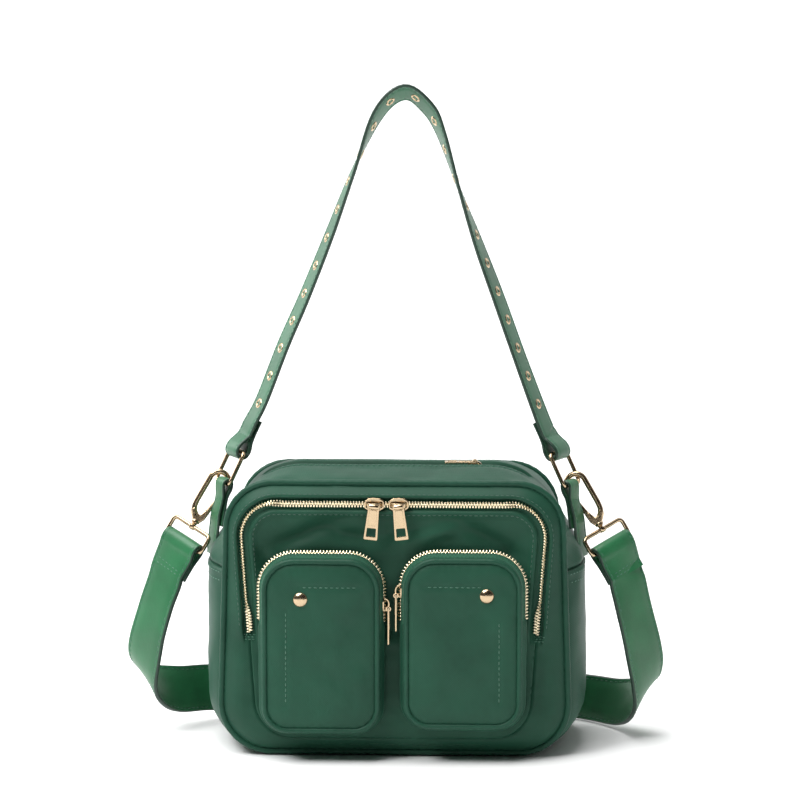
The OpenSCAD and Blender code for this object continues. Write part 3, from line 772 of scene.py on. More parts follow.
g.add(np.stack([v[:, 0], y, v[:, 1]], 1), [tuple(q) for q in f])
ppan = faces_front(g.obj("front_pocket_cloth", "bag", [M_NYLON], replaces=["front_pocket_panel"], solid=1.4, fix=False))

# hooped zip: teeth along the groove, stitched stops at both ends
loop = resample(from_bottom(hull_outline(FP, 0.0, 1400), 0.0), 1400, closed=True)
hoop = np.array([p for p in loop if p[1] > 84.0])
hy = front_y(hoop, True)
P = np.stack([hoop[:, 0], hy - 0.1, hoop[:, 1]], 1)
g = Geo()
tg = unit(np.gradient(hoop, axis=0))
nn = np.stack([tg[:, 1], np.zeros(len(tg)), -tg[:, 0]], 1)
kk = (sm(94, 108, hoop[:, 1]) * sm(70, 92, np.abs(hoop[:, 0])))[:, None]
P = P + nn * 0.8 * kk + np.array([0, 0.6, 0]) * kk
zip_teeth(g, P, unit(np.array([0, -1.0, 0]) * (1 - 0.55 * kk) + nn * 0.95 * kk), pitch=1.93)
g.obj("front_zip_teeth", "bag", [M_TEETH], replaces=["front_zip_chain"])
g = Geo()
for sgn in (-1, 1):
    for dz in (0.0, -1.5, -3.0):
        zc = 83.2 + dz
        xs = np.linspace(-5.0, 5.0, 12)
        xc = sgn * (np.interp(zc, [60, 84], [93.2, 95.6]))
        vv = np.stack([xc + xs, np.full(12, zc)], 1)
        yy = front_y(vv, True)
        stitches(g, np.stack([vv[:, 0], yy - 0.05, vv[:, 1]], 1), (0, -1, 0), length=2.0, gap=0.5, r=0.35)
# edge stitching of the hood and the panel, along the groove
for d in (-6.4, 6.8):
    lp = resample(from_bottom(hull_outline(FP, d, 1400), 0.0), 1200, closed=True)
    hp = np.array([p for p in lp if p[1] > 86])
    yy = front_y(hp, True)
    stitches(g, np.stack([hp[:, 0], yy - 0.02, hp[:, 1]], 1), (0, -1, 0), length=2.3, gap=1.1, r=0.26, lift=0.08, m=1)
g.obj("front_zip_stitching", "bag", [M_THREAD, M_THREAD_D])

# ------------------------------------------------------------------ back panel
v, f = region(ring_of(BACK, 0.4, 360), rings=[ring_of(BACK, d, 340) for d in (1.4, 3.0, 5.0)], h=3.4)
de = sdist(v, hull_outline(BACK, 0.4, 360))
p3 = np.stack([v[:, 0], np.full(len(v), 46.0), v[:, 1]], 1)
y = 46.2 + 3.4 * (1 - (1 - np.clip(de / 18, 0, 1)) ** 2) + (1.0 * fbm(p3, 45.0, 6.2, 2) + 0.3 * fbm(p3, 13.0, 2.2, 2)) * sm(2, 20, de)
g = Geo()
g.add(np.stack([v[:, 0], y, v[:, 1]], 1), [tuple(q) for q in f])
bpan = faces_front(g.obj("back_panel_cloth", "bag", [M_NYLON], replaces=["back_panel"], solid=1.4, fix=False), 1)

# ------------------------------------------------------------------ main zip in the top channel
mid = len(ys) // 2
P = G2[mid, top_cols]
N = NRM[mid, top_cols]
g = Geo()
zip_teeth(g, P + N * 0.25, N, pitch=2.0, a=1.3, b=3.0, h=1.5, amp=0.85)
g.obj("main_zip_teeth", "bag", [M_TEETH], replaces=["main_zip_chain"])

# ------------------------------------------------------------------ patch pockets
WALL = [(-50.5, 2.6), (-52.6, 2.0), (-53.8, 1.0), (-55.2, 0.2), (-56.6, -0.15), (-57.4, -0.25), (-57.9, 0.1), (-58.6, 0.2), (-59.6, 0.25), (-60.6, 0.2), (-61.4, 0.1), (-61.9, -0.15), (-62.4, 0.2),
        (-63.4, 0.9), (-65.0, 1.5), (-66.8, 1.9), (-68.4, 2.2), (-69.6, 2.7), (-70.6, 3.4)]
FACE_Y = -71.0


def pocket(tag, circs, zl, zr, mirror_sign):
    """zl, zr: heights where the zip ends on the left and right side of the pocket."""
    cx = np.mean([c[0] for c in circs])
    NW = 300
    rows = []
    for yy, t in WALL:
        o = resample(from_bottom(hull_outline(circs, t, 900), cx), NW, closed=True)
        rows.append(np.stack([o[:, 0], np.full(NW, yy), o[:, 1]], 1))
    W = np.array(rows)
    c3 = np.array([cx, 0, 80.0])
    rad = unit((W - c3) * np.array([1, 0, 1]))
    # zip hollow and tape only on the hooped part; below it a plain soft wall
    zend = np.where(W[..., 0] < cx, zl, zr)
    hoop = sm(-3, 3, W[..., 2] - zend)
    fl = W.reshape(-1, 3)
    wr = fbm(fl, 26.0, 8.0 + mirror_sign, 2).reshape(W.shape[:2])
    belly = 0.9 * np.sin(np.pi * np.clip((-W[..., 1] - 53.5) / 16.5, 0, 1)) * (1 - hoop)
    W = W + rad * (0.5 * wr * (1 - 0.8 * hoop) + belly)[..., None]
    g = Geo()
    fs = grid_faces(len(WALL), NW, closed_m=True)
    mats = []
    for q in fs:
        r = q[0] // NW
        j = q[0] % NW
        zz = W[r, j, 2]
        ze = zl if W[r, j, 0] < cx else zr
        mats.append(1 if (6 <= r <= 10 or 12 <= r <= 14) and zz > ze else 0)
    g.add(W.reshape(-1, 3), fs, mats)
    wall = g.obj(tag + "_pocket_side", "bag", [M_NYLON, M_TAPE], replaces=[tag + "_pocket_wall"], solid=-1.2, fix=True)
    # teeth
    lp = resample(from_bottom(hull_outline(circs, -0.15, 1400), cx), 1000, closed=True)
    hp = np.array([p for p in lp if (p[1] > (zl if p[0] < cx else zr) + 0.5)])
    up = np.array([unit(np.array([p[0] - cx, 0, p[1] - 80.0])) for p in hp])
    tang = unit(np.gradient(hp, axis=0))
    nn = np.stack([tang[:, 1], np.zeros(len(tang)), -tang[:, 0]], 1)
    P = np.stack([hp[:, 0], np.full(len(hp), -59.6), hp[:, 1]], 1)
    g = Geo()
    zip_teeth(g, P + nn * 0.5, unit(nn * 0.55 + np.array([0, -0.85, 0])), pitch=2.15, a=1.3, b=3.0, h=1.6, amp=0.8)
    g.obj(tag + "_pocket_teeth", "bag", [M_TEETH], replaces=[tag + "_pocket_zip_chain"])
    # piping round the face
    o = resample(from_bottom(hull_outline(circs, 2.5, 900), cx), 300, closed=True)
    P = np.stack([o[:, 0], np.full(300, FACE_Y + 0.6), o[:, 1]], 1)
    P[:, 1] += 0.3 * fbm(P, 20.0, 2.0 + mirror_sign, 2)
    s = 1 + 0.05 * np.sin(np.arange(300) * 1.9 + np.sin(np.arange(300) * 0.4) * 2)
    g = Geo()
    g.add(*sweep(P, circle(1.75, 12), across=(0, 1, 0), closed=True, scale=s))
    g.obj(tag + "_pocket_cord", "bag", [M_NYLON_PIPE], replaces=[tag + "_pocket_piping"])
    # face: pillowed panel
    poly = hull_outline(circs, 3.3, 360)
    lo, hi = poly.min(0), poly.max(0)
    xa, xb = (lo[0] + 13.0, lo[0] + 21.5) if tag == "left" else (hi[0] - 13.0, hi[0] - 21.5)
    if tag == "left":
        Lh = [(-61.5, 119.4), (-22, 119.4)]
        Lv = [(-70.2, 105), (-70.4, 40)]
    else:
        Lh = [(20.5, 120.2), (59.5, 120.2)]
        Lv = [(69.2, 98), (69.4, 42)]
    rv, rf = region(ring_of(circs, 3.3, 260), rings=[ring_of(circs, d, 250) for d in (4.0, 5.2, 7.0)], h=1.7)
    de = sdist(rv, poly)
    p3 = np.stack([rv[:, 0], np.full(len(rv), 0.0), rv[:, 1]], 1)
    bulge = 2.6 * (1 - (1 - np.clip(de / 13.0, 0, 1)) ** 2) + 1.1 * sm(6, 34, de)
    y = FACE_Y + 0.2 - bulge + 0.8 * np.exp(-(de / 1.0) ** 2)
    y -= (1.15 * fbm(p3, 30.0, 11.0 + 3 * mirror_sign, 2) + 0.38 * fbm(p3 * np.array([1, 1, 0.6]), 11.0, 5.0 + mirror_sign, 2)) * sm(1, 9, de)
    # gathers where the piping turns
    ang = np.arctan2(rv[:, 1] - 80, rv[:, 0] - cx)
    y -= 0.16 * np.sin(ang * 60 + 3 * np.sin(ang * 7)) * np.exp(-((de - 2.6) / 2.2) ** 2)
    # stitched lines pull the cloth down
    def seg_d(a, b):
        a, b = np.array(a), np.array(b)
        ab = b - a
        t = np.clip(((rv - a) @ ab) / (ab @ ab), 0, 1)
        return np.linalg.norm(rv - (a + t[:, None] * ab), axis=1)
    for a, b in (Lh, Lv):
        y += 0.42 * np.exp(-(seg_d(a, b) / 1.5) ** 2)
    rx, rzv = RIV[tag]
    rd = np.hypot(rv[:, 0] - rx, rv[:, 1] - rzv)
    y += 0.5 * np.exp(-(rd / 6.0) ** 2)
    g = Geo()
    g.add(np.stack([rv[:, 0], y, rv[:, 1]], 1), [tuple(q) for q in rf])
    face = faces_front(g.obj(tag + "_pocket_pad", "bag", [M_NYLON], replaces=[tag + "_pocket_face"], solid=1.3, fix=False))
    def on_face(q):
        q = np.asarray(q, float)
        k = np.argsort(((rv[None] - q[:, None]) ** 2).sum(2), axis=1)[:, :4]
        dd = np.sqrt(((rv[k] - q[:, None]) ** 2).sum(2)) + 1e-3
        ww = 1 / dd
        return (y[k] * ww).sum(1) / ww.sum(1)
    g = Geo()
    for a, b in (Lh, Lv):
        n = int(np.hypot(b[0] - a[0], b[1] - a[1]))
        q = np.stack([np.linspace(a[0], b[0], n), np.linspace(a[1], b[1], n)], 1)
        stitches(g, np.stack([q[:, 0], on_face(q) - 0.02, q[:, 1]], 1), (0, -1, 0), length=2.4, gap=1.2, r=0.33)
    g.obj(tag + "_pocket_stitching", "bag", [M_THREAD])
    # domed rivet
    prof = [(0, -0.4), (4.1, -0.4), (4.75, -0.15), (4.85, 0.25), (4.6, 0.75), (4.1, 1.25), (3.2, 1.85), (2.1, 2.3), (1.0, 2.5), (0, 2.55)]
    vv, ff = lathe(prof, 40)
    ry = float(on_face([(rx, rzv)])[0])
    g = Geo()
    g.add(xf(vv, RX(90), (rx, ry + 0.2, rzv)), ff)
    g.obj(tag + "_rivet_dome", "bag", [M_GOLD], replaces=[tag + "_rivet"], sharp=40)
    return wall, face


RIV = {"left": (-60.6, 111.3), "right": (61.0, 114.4)}
lw, lf = pocket("left", PKL, 93.0, 93.5, 0)
rw, rf_ = pocket("right", PKR, 94.0, 96.0, 1)

# ------------------------------------------------------------------ sliders and pulls
def pull_geo(g, L=22.0, w0=7.2, w1=9.2, t=1.5, win=True):
    """Hangs down from a bar through the origin along X."""
    out = rounded([(-w0 / 2, 1.9), (w0 / 2, 1.9), (w0 / 2 + 0.1, -2.5), (w1 / 2, -L), (-w1 / 2, -L), (-w0 / 2 - 0.1, -2.5)], [1.3, 1.3, 3, 1.0, 1.0, 3], 6)
    hole = rounded([(-w1 / 2 + 1.7, -L + 7.8), (w1 / 2 - 1.7, -L + 7.8), (w1 / 2 - 1.5, -L + 2.2), (-w1 / 2 + 1.5, -L + 2.2)], 0.7, 5)
    v, f = plate(out, [hole] if win else [], thick=t, bevel=0.32, n_bevel=3)
    g.add(v, f)
    # raised frame on both faces of the upper part
    inner = rounded([(-w0 / 2 + 1.2, -2.0), (w0 / 2 - 1.2, -2.0), (w1 / 2 - 1.8, -L + 9.6), (-w1 / 2 + 1.8, -L + 9.6)], 0.9, 5)
    v, f = plate(inner, thick=t + 0.5, bevel=0.24)
    g.add(v, f)
    # eye barrel
    ring = [(1.05, -w0 / 2 + 0.6), (1.75, -w0 / 2 + 0.6), (1.95, -w0 / 2 + 0.9), (1.95, w0 / 2 - 0.9), (1.75, w0 / 2 - 0.6), (1.05, w0 / 2 - 0.6), (1.05, -w0 / 2 + 0.6)]
    v, f = lathe(ring, 24)
    g.add(xf(v, RY(90)), f)


def slider_geo(g, L=13.0, W=8.6, crown=4.9):
    """A slider that travels along X; its face looks to -Y, the chain lies at y > 0."""
    out = rounded([(-L / 2, 2.4), (-L / 2 + 3.2, W / 2), (L / 2 - 3.2, W / 2), (L / 2, 2.4), (L / 2, -2.4), (L / 2 - 3.2, -W / 2), (-L / 2 + 3.2, -W / 2), (-L / 2, -2.4)], 1.6, 5)
    v, f = plate(out, thick=1.7, bevel=0.45, n_bevel=3)
    g.add(xf(v, t=(0, 0.2, 0)), f)
    v, f = plate(out * 0.96, thick=1.2, bevel=0.3, n_bevel=2)
    g.add(xf(v, t=(0, 3.6, 0)), f)
    # side flanges
    for s in (-1, 1):
        p = [(-L / 2 + 2.6, 1.9, s * (W / 2 - 0.5)), (0, 1.9, s * (W / 2 - 0.25)), (L / 2 - 2.6, 1.9, s * (W / 2 - 0.5))]
        v, f = tube(resample(p, 12), 1.4, 10, r2=0.55, across=(0, 1, 0))
        g.add(v, f)
    # rounded crown over the eye
    t = np.linspace(0, np.pi, 21)
    p = np.stack([-np.cos(t) * (L / 2 - 1.5), -np.sin(t) ** 0.75 * crown - 0.2, np.zeros(21)], 1)
    s = 1 - 0.25 * np.sin(t)
    prof = rounded([(-1.7, -0.7), (1.7, -0.7), (1.7, 0.7), (-1.7, 0.7)], 0.5, 4)
    v, f = sweep(p, prof, across=(0, 0, 1), scale=None)
    g.add(v, f)


sl_y = -46 - 9.9
pz = 169.4 + 1.4
for tag, x0, lean_y in (("left", -13.0, 6.0), ("right", 3.0, -6.0)):
    g = Geo()
    slider_geo(g)
    for k in range(len(g.v)):
        g.v[k] = xf(g.v[k], t=(x0, sl_y + 1.4, pz + 0.4))
    g.obj("front_slider_body_" + tag, "front_slider_" + tag, [M_GOLD], replaces=["front_zip_slider_" + tag], sharp=45)
    g = Geo()
    pull_geo(g)
    for k in range(len(g.v)):
        g.v[k] = xf(g.v[k], RY(lean_y), (x0, sl_y - 5.0, pz))
    g.obj("front_pull_tab_" + tag, "front_pull_" + tag, [M_GOLD], replaces=["front_zip_pull_" + tag], sharp=40)

# main zip slider lies on top, its pull back along the zip
mzx, mzz = 52.0, 192 - 1.6 - 3.8
g = Geo()
slider_geo(g, L=11.5, W=8.0, crown=3.1)
R = RX(-90)
for k in range(len(g.v)):
    g.v[k] = xf(g.v[k], R, (mzx, 0, mzz + 0.6))
g.obj("main_slider_body", "main_slider", [M_GOLD], replaces=["main_zip_slider"], sharp=45)
g = Geo()
pull_geo(g, L=20, w0=5.6, w1=6.4, t=1.2)
Rp = np.array([[0, 0, 1.0], [1.0, 0, 0], [0, 1.0, 0]])   # hangs towards -X, its bar along Y
for k in range(len(g.v)):
    g.v[k] = xf(g.v[k], Rp, (mzx, 0, mzz + 3.7))
g.obj("main_pull_tab", "main_pull", [M_GOLD], replaces=["main_zip_pull"], sharp=40)

# pocket sliders travel along Z in the gap between the pockets
zy = -(46 + 7.6 + 6)
for tag, sgn, xs, zc in (("left", 1, -7.2, 106.0), ("right", -1, 5.2, 115.0)):
    g = Geo()
    slider_geo(g, L=10.5, W=6.6, crown=3.4)
    # face looks along +X for the left pocket: local X -> -Z, local -Y -> sgn*X, local Z -> Y
    R = np.array([[0, -sgn * 1.0, 0], [0, 0, 1.0], [-1.0, 0, 0]])
    for k in range(len(g.v)):
        g.v[k] = xf(g.v[k], R, (xs + sgn * 0.4, zy, zc))
    g.obj("pocket_slider_body_" + tag, "pocket_slider_" + tag, [M_GOLD], replaces=[tag + "_pocket_slider"], sharp=45)
    g = Geo()
    pull_geo(g, L=24.0, w0=5.6, w1=6.6, t=1.3)
    R = np.array([[0, -sgn * 1.0, 0], [1.0, 0, 0], [0, 0, 1.0]])
    for k in range(len(g.v)):
        g.v[k] = xf(g.v[k], R, (xs + sgn * 3.7, zy, zc - 3.0))
    g.obj("pocket_pull_tab_" + tag, "pocket_pull_" + tag, [M_GOLD], replaces=[tag + "_pocket_pull"], sharp=40)

# ------------------------------------------------------------------ straps, rings, hooks
PIV = np.array([-117.0, 0, 175.3])
LEAN, TURN = 28.0, 29.0
HA, HB, HOFF, HL, HR = -9.2, 30.5, 5.5, 31.0, 6.5
RING_L, RING_W = 24.0, 22.0
R_RING = RZ(TURN) @ RY(LEAN)
HC = np.array([PIV[0] - HOFF * math.sin(math.radians(TURN)), HOFF * math.cos(math.radians(TURN)), PIV[2]])
R_HOOK = RY(HB) @ RX(HA)
SW_TURN = -39.0
R_SW = R_HOOK @ RZ(SW_TURN)
SWC = HC + R_HOOK @ np.array([0, 0, -HL - 2.0])
LEG = 12.5
CW, CT = 32.0, 3.0
MIR = np.diag([-1.0, 1, 1])


def side(v, s):
    v = np.asarray(v, float)
    return v if s == "left" else v * np.array([-1, 1, 1])


def strap_profile(w, t, r=0.9, groove=2.4):
    """Closed profile of a flat strap: rounded painted edges and a shallow stitched channel on both faces."""
    h = t / 2
    a = w / 2
    face = [(-a + r, h), (-a + groove - 0.8, h + 0.05), (-a + groove, h - 0.22), (-a + groove + 0.9, h + 0.05), (-a * 0.4, h + 0.12), (0, h + 0.14), (a * 0.4, h + 0.12), (a - groove - 0.9, h + 0.05), (a - groove, h - 0.22), (a - groove + 0.8, h + 0.05), (a - r, h)]
    edge = [(a - 0.25 * r, h * 0.72), (a, 0.15 * h), (a, -0.15 * h), (a - 0.25 * r, -h * 0.72)]
    back = [(x, -z) for x, z in face[::-1]]
    edge2 = [(-x, -z) for x, z in edge]
    prof = face + edge + back + edge2
    nf, ne = len(face), len(edge)
    m = [0] * (nf - 1) + [1] * (ne + 1) + [0] * (nf - 1) + [1] * (ne + 1)
    return np.array(prof), m


def strap(g, rows, n, w, t, closed=False, mats=(0, 1), caps=True, groove=2.4):
    R = route(rows, n)
    prof, pm = strap_profile(w, t, groove=groove)
    v, f = sweep(R[:, :3], prof, across=R[:, 3:6], caps=caps)
    m = []
    k = len(prof)
    for i in range(len(R) - 1):
        m += [mats[pm[j]] for j in range(k)]
    if caps:
        m += [mats[1]] * 2
    g.add(v, f, m)
    return R


def edge_stitch(g, R, w, t, inset=2.4, m=2, both=True, r=0.3, length=2.6, gap=1.2):
    T, A, B = frames(R[:, :3], R[:, 3:6])
    for s in (-1, 1):
        for u in ((-1, 1) if both else (1,)):
            P = R[:, :3] + A * s * (w / 2 - inset) + B * u * (t / 2 - 0.12)
            stitches(g, P, B * u, length=length, gap=gap, r=r, m=m)


# shoulder strap: both ends fold round the ring's upper bar and lie sewn on the inner side
main_rows = [
    [-98, 7, 216, 0.46, -0.88, 0], [-90, 6.5, 232, 0.44, -0.9, 0], [-76, 6, 268, 0.42, -0.9, 0],
    [-62, 5, 300, 0.38, -0.92, 0], [-45, 4, 342, 0.3, -0.95, 0], [-29, 2, 384, 0.1, -1, 0],
    [-12, 0, 423, -0.25, -0.92, 0.3], [5, 0, 437, 0, -0.82, 0.57], [20, 0, 427, 0.4, -0.86, 0.3],
    [29, 1, 410, 0.3, -0.93, 0.1], [41, 2, 373, 0.05, -1, 0], [54, 4, 336, -0.25, -0.96, 0],
    [67, 5, 301, -0.36, -0.93, 0], [82, 6, 259, -0.4, -0.92, 0], [98, 7, 216, -0.46, -0.88, 0]]
SHW, SHT = 19.0, 2.2
wrap2d = [(2.5, 23.5), (2.45, 18), (2.5, 12), (3.0, 7.5), (4.1, 3.6), (4.25, 0.2), (3.1, -2.9), (0, -4.15), (-3.1, -2.9), (-4.25, 0.2), (-3.7, 4.2), (-1.6, 8.6), (-0.25, 12.5)]
top_bar = PIV + R_RING @ np.array([0, 0, RING_L])
wl = []
Wv = R_RING @ np.array([0, -1.0, 0])
for x, z in wrap2d:
    p = top_bar + R_RING @ np.array([x, 0, z])
    wl.append(list(p) + list(Wv))
left_wrap = wl
right_wrap = mirror_rows(wl)[::-1]
g = Geo()
rows_all = left_wrap + main_rows[0:] + right_wrap
# the across vector keeps one sense over the whole strap
ra = np.array(rows_all, float)
for i in range(1, len(ra)):
    if ra[i, 3:6] @ ra[i - 1, 3:6] < 0:
        ra[i, 3:6] *= -1
R = strap(g, ra, 7, SHW, SHT, groove=2.2)
edge_stitch(g, R, SHW, SHT, inset=2.2, both=True, r=0.27, length=2.4, gap=1.1)
# a stitched bar across the strap above each fold
T, A, B = frames(R[:, :3], R[:, 3:6])
for s in ("left", "right"):
    c = side(top_bar + R_RING @ np.array([-0.25 - 1.1, 0, 11.5]), s)
    a = side(R_RING @ np.array([0, 1.0, 0]), s)
    n = side(R_RING @ np.array([-1.0, 0, 0]), s)
    P = c + np.linspace(-7.2, 7.2, 16)[:, None] * a
    stitches(g, P, n, length=2.4, gap=1.0, r=0.3, m=2)
g.obj("shoulder_strap_leather", "shoulder", [M_LEATHER2, M_EDGE_PAINT_AND_HOLE_SHADE, M_THREAD], replaces=["shoulder_strap"], sharp=60)
# eyelets at an even spacing along the strap
core = R[(len(left_wrap)) * 7:(len(left_wrap) + len(main_rows) - 1) * 7 + 1]
T, A, B = frames(core[:, :3], core[:, 3:6])
d = np.r_[0, np.cumsum(np.linalg.norm(np.diff(core[:, :3], axis=0), axis=1))]
g = Geo()
n_eye = 24
h = SHT / 2
prof = [(1.75, h + 0.05), (2.0, h + 0.42), (2.6, h + 0.62), (3.3, h + 0.45), (3.6, h - 0.1), (3.3, h - 0.2), (3.3, -h + 0.2), (3.6, -h + 0.1), (3.3, -h - 0.45), (2.6, -h - 0.62), (2.0, -h - 0.42), (1.75, -h - 0.05), (1.75, h + 0.05)]
for s in np.linspace(13.5, d[-1] - 13.5, n_eye):
    p = np.array([np.interp(s, d, core[:, k]) for k in range(3)])
    t = unit(np.array([np.interp(s, d, T[:, k]) for k in range(3)]))
    a = unit(np.array([np.interp(s, d, A[:, k]) for k in range(3)]))
    b = np.cross(t, a)
    v, f = lathe(prof, 24)
    g.add(p + v[:, 0:1] * a + v[:, 1:2] * t + v[:, 2:3] * b, f)
    # a dark plug fills the hole: painted shade in place of the open hole through the eyelet
    v, f = lathe([(0, h - 0.25), (1.9, h - 0.25), (1.9, -h + 0.25), (0, -h + 0.25)], 20)
    g.add(p + v[:, 0:1] * a + v[:, 1:2] * t + v[:, 2:3] * b, f, 1)
g.obj("shoulder_strap_eyelets", "shoulder", [M_GOLD, M_EDGE_PAINT_AND_HOLE_SHADE], replaces=["shoulder_eyelets"], sharp=50)


def closed_rect(w, l, r, n=8):
    """Closed rounded rectangle path in (a, b), a across and b from 0 to l."""
    c = rounded([(-w / 2, 0), (w / 2, 0), (w / 2, l), (-w / 2, l)], r, n)
    out = []
    for i in range(len(c)):
        p, q = c[i], c[(i + 1) % len(c)]
        m = max(1, int(np.linalg.norm(q - p) / 2.0))
        for k in range(m):
            out.append(p + (q - p) * k / m)
    return np.array(out)


for s in ("left", "right"):
    # ring
    c = closed_rect(RING_W, RING_L, 4.2, 10)
    P = PIV + np.stack([np.zeros(len(c)), c[:, 0], c[:, 1]], 1) @ R_RING.T
    g = Geo()
    g.add(*tube(side(P, s), 1.38, 16, closed=True, across=side(R_RING @ np.array([1.0, 0, 0]), s)))
    g.obj(s + "_ring_wire", "shoulder", [M_GOLD], replaces=[s + "_ring"])
    # snap hook: cast body with a long back, the arc over the bar and the nose
    t = np.linspace(np.pi, 0, 26)
    pts = [(-2.2, 0, -HL + 3.2), (-4.4, 0, -HL + 5.2), (-6.0, 0, -HL + 8.6), (-6.5, 0, -HL + 13), (-6.5, 0, -10), (-6.5, 0, -5)]
    pts = list(resample(np.array(pts, float), 24))[:-1] + [np.array([HR * math.cos(a), 0, HR * math.sin(a)]) for a in t] + [np.array([HR, 0, -1.2]), np.array([HR - 0.1, 0, -2.4])]
    P = np.array(pts)
    sc = np.ones(len(P))
    sc[:6] = np.linspace(1.35, 1.05, 6)
    sc[-5:] = np.array([1.0, 0.98, 0.95, 0.9, 0.7])
    g = Geo()
    v, f = tube(P, 1.65, 16, scale=sc, r2=1.85, across=(0, 1, 0))
    g.add(side(HC + v @ R_HOOK.T, s), f)
    # jaw block with the gate's ears
    blk = rounded([(-2.8, -HL), (2.8, -HL), (4.6, -HL + 3.4), (5.3, -HL + 9.4), (2.0, -HL + 10.0), (0.2, -HL + 5.0), (-2.6, -HL + 5.4), (-5.6, -HL + 8.6), (-6.4, -HL + 5.6)], 1.0, 5)
    v, f = plate(blk, thick=4.2, bevel=0.9, n_bevel=4)
    g.add(side(HC + v @ R_HOOK.T, s), f)
    vv, ff = lathe([(0, -HL - 1.4), (2.2, -HL - 1.4), (2.9, -HL - 0.9), (3.0, -HL + 0.2), (2.6, -HL + 0.9), (0, -HL + 1.0)], 28)
    g.add(side(HC + vv @ R_HOOK.T, s), ff)
    pin, pf = lathe([(0, -2.9), (1.0, -2.9), (1.2, -2.6), (1.2, 2.6), (1.0, 2.9), (0, 2.9)], 20)
    g.add(side(HC + xf(pin, RX(90), (3.4, 0, -HL + 8.6)) @ R_HOOK.T, s), pf)
    g.obj(s + "_hook_casting", "bag", [M_GOLD], replaces=[s + "_hook"], sharp=42)
    # gate
    gp = np.array([(3.4, 0, -HL + 8.0), (3.9, 0, -HL + 11), (5.2, 0, -HL + 19), (6.0, 0, -6.0), (6.3, 0, -3.4), (6.35, 0, -2.6)])
    P = resample(gp, 18)
    sc = np.interp(np.arange(18), [0, 2, 8, 15, 17], [1.15, 1.1, 0.95, 0.9, 0.55])
    g = Geo()
    v, f = tube(P, 1.35, 14, scale=sc, r2=1.4, across=(0, 1, 0))
    g.add(side(HC + v @ R_HOOK.T, s), f)
    v, f = lathe([(0.8, -1.3), (1.7, -1.3), (1.9, -1.0), (1.9, 1.0), (1.7, 1.3), (0.8, 1.3), (0.8, -1.3)], 24)
    g.add(side(HC + xf(v, RX(90), (3.4, 0, -HL + 8.6)) @ R_HOOK.T, s), f)
    g.obj(s + "_gate_bar", "gate_" + s, [M_GOLD], replaces=[s + "_hook_gate"])
    # swivel ring
    W2 = CW + 3.0
    c = closed_rect(W2, LEG, 3.6, 9)
    P = np.stack([c[:, 0], np.zeros(len(c)), -2.2 - LEG + c[:, 1]], 1)
    g = Geo()
    g.add(*tube(side(SWC + P @ R_SW.T, s), 1.45, 14, closed=True, across=side(R_SW @ np.array([0, 1.0, 0]), s)))
    v, f = lathe([(0, 1.6), (1.3, 1.6), (2.0, 1.2), (2.1, 0.3), (1.5, -0.2), (1.5, -0.7), (2.6, -1.1), (2.8, -2.2), (2.6, -3.4), (1.8, -4.2), (0, -4.4)], 28)
    g.add(side(SWC + v @ R_SW.T, s), f)
    g.obj(s + "_swivel_wire", "swivel_" + s, [M_GOLD], replaces=[s + "_swivel_ring"], sharp=50)

# crossbody strap
cross_left = [[-156, -5, 109, 0.72, -0.68, -0.1], [-162, -5, 92, 0.72, -0.69, 0], [-169, -3, 67, 0.72, -0.66, 0],
              [-171.5, 3, 47.5, 0.62, -0.6, -0.5], [-166, 13, 34, 0.45, -0.5, -0.74], [-151, 32, 25.5, 0.12, -0.3, -0.95], [-128, 50, 22.5, 0, -0.1, -1], [-90, 55, 18.5, 0, 0, -1]]
cross_back = [[-50, 55, 17.5, 0, 0, -1], [0, 55, 17, 0, 0, -1], [50, 55, 17, 0, 0, -1], [86, 55, 17, 0, 0, -1], [93, 59, 17, 0, 0, -1],
              [86, 63, 17, 0, 0, -1], [40, 63, 17, 0, 0, -1], [-40, 63, 17, 0, 0, -1], [-86, 63, 17, 0, 0, -1], [-93, 67.5, 17, 0, 0, -1],
              [-86, 72, 17, 0, 0, -1], [-40, 72, 17, 0, 0, -1], [40, 72, 17, 0, 0, -1], [86, 70, 17, 0, 0, -1]]
cross_right = [[114, 62, 17, 0, 0, -1], [134, 50, 17, 0, -0.1, -1], [152, 32, 19, -0.12, -0.3, -0.95], [165, 12, 28.5, -0.45, -0.5, -0.74], [168.5, 3, 44.5, -0.62, -0.6, -0.5],
               [165, -3, 67, -0.72, -0.66, 0], [159, -5, 92, -0.72, -0.69, 0], [155, -5, 109, -0.72, -0.68, -0.1]]
bar = SWC + R_SW @ np.array([0, 0, -2.2 - LEG])
bx = R_SW @ np.array([1.0, 0, 0])          # along the bar
by = R_SW @ np.array([0, 1.0, 0])
bz = R_SW @ np.array([0, 0, 1.0])
outer = by if by[1] < 0 else -by           # the side that looks to the front
if bx @ np.array([0.72, -0.68, -0.1]) < 0:
    bx = -bx


def end_rows(tail_len):
    """Tail on the inner side, over the bar, then down the outer side."""
    w2 = [(-2.4, -tail_len), (-2.3, -tail_len * 0.6), (-2.6, -8), (-3.4, -3.6), (-3.6, 0.2), (-2.5, 2.6), (0, 3.6), (2.5, 2.6), (3.6, 0.2), (3.3, -3.6), (1.8, -8)]
    return [list(bar + outer * a + bz * b) + list(bx) for a, b in w2]


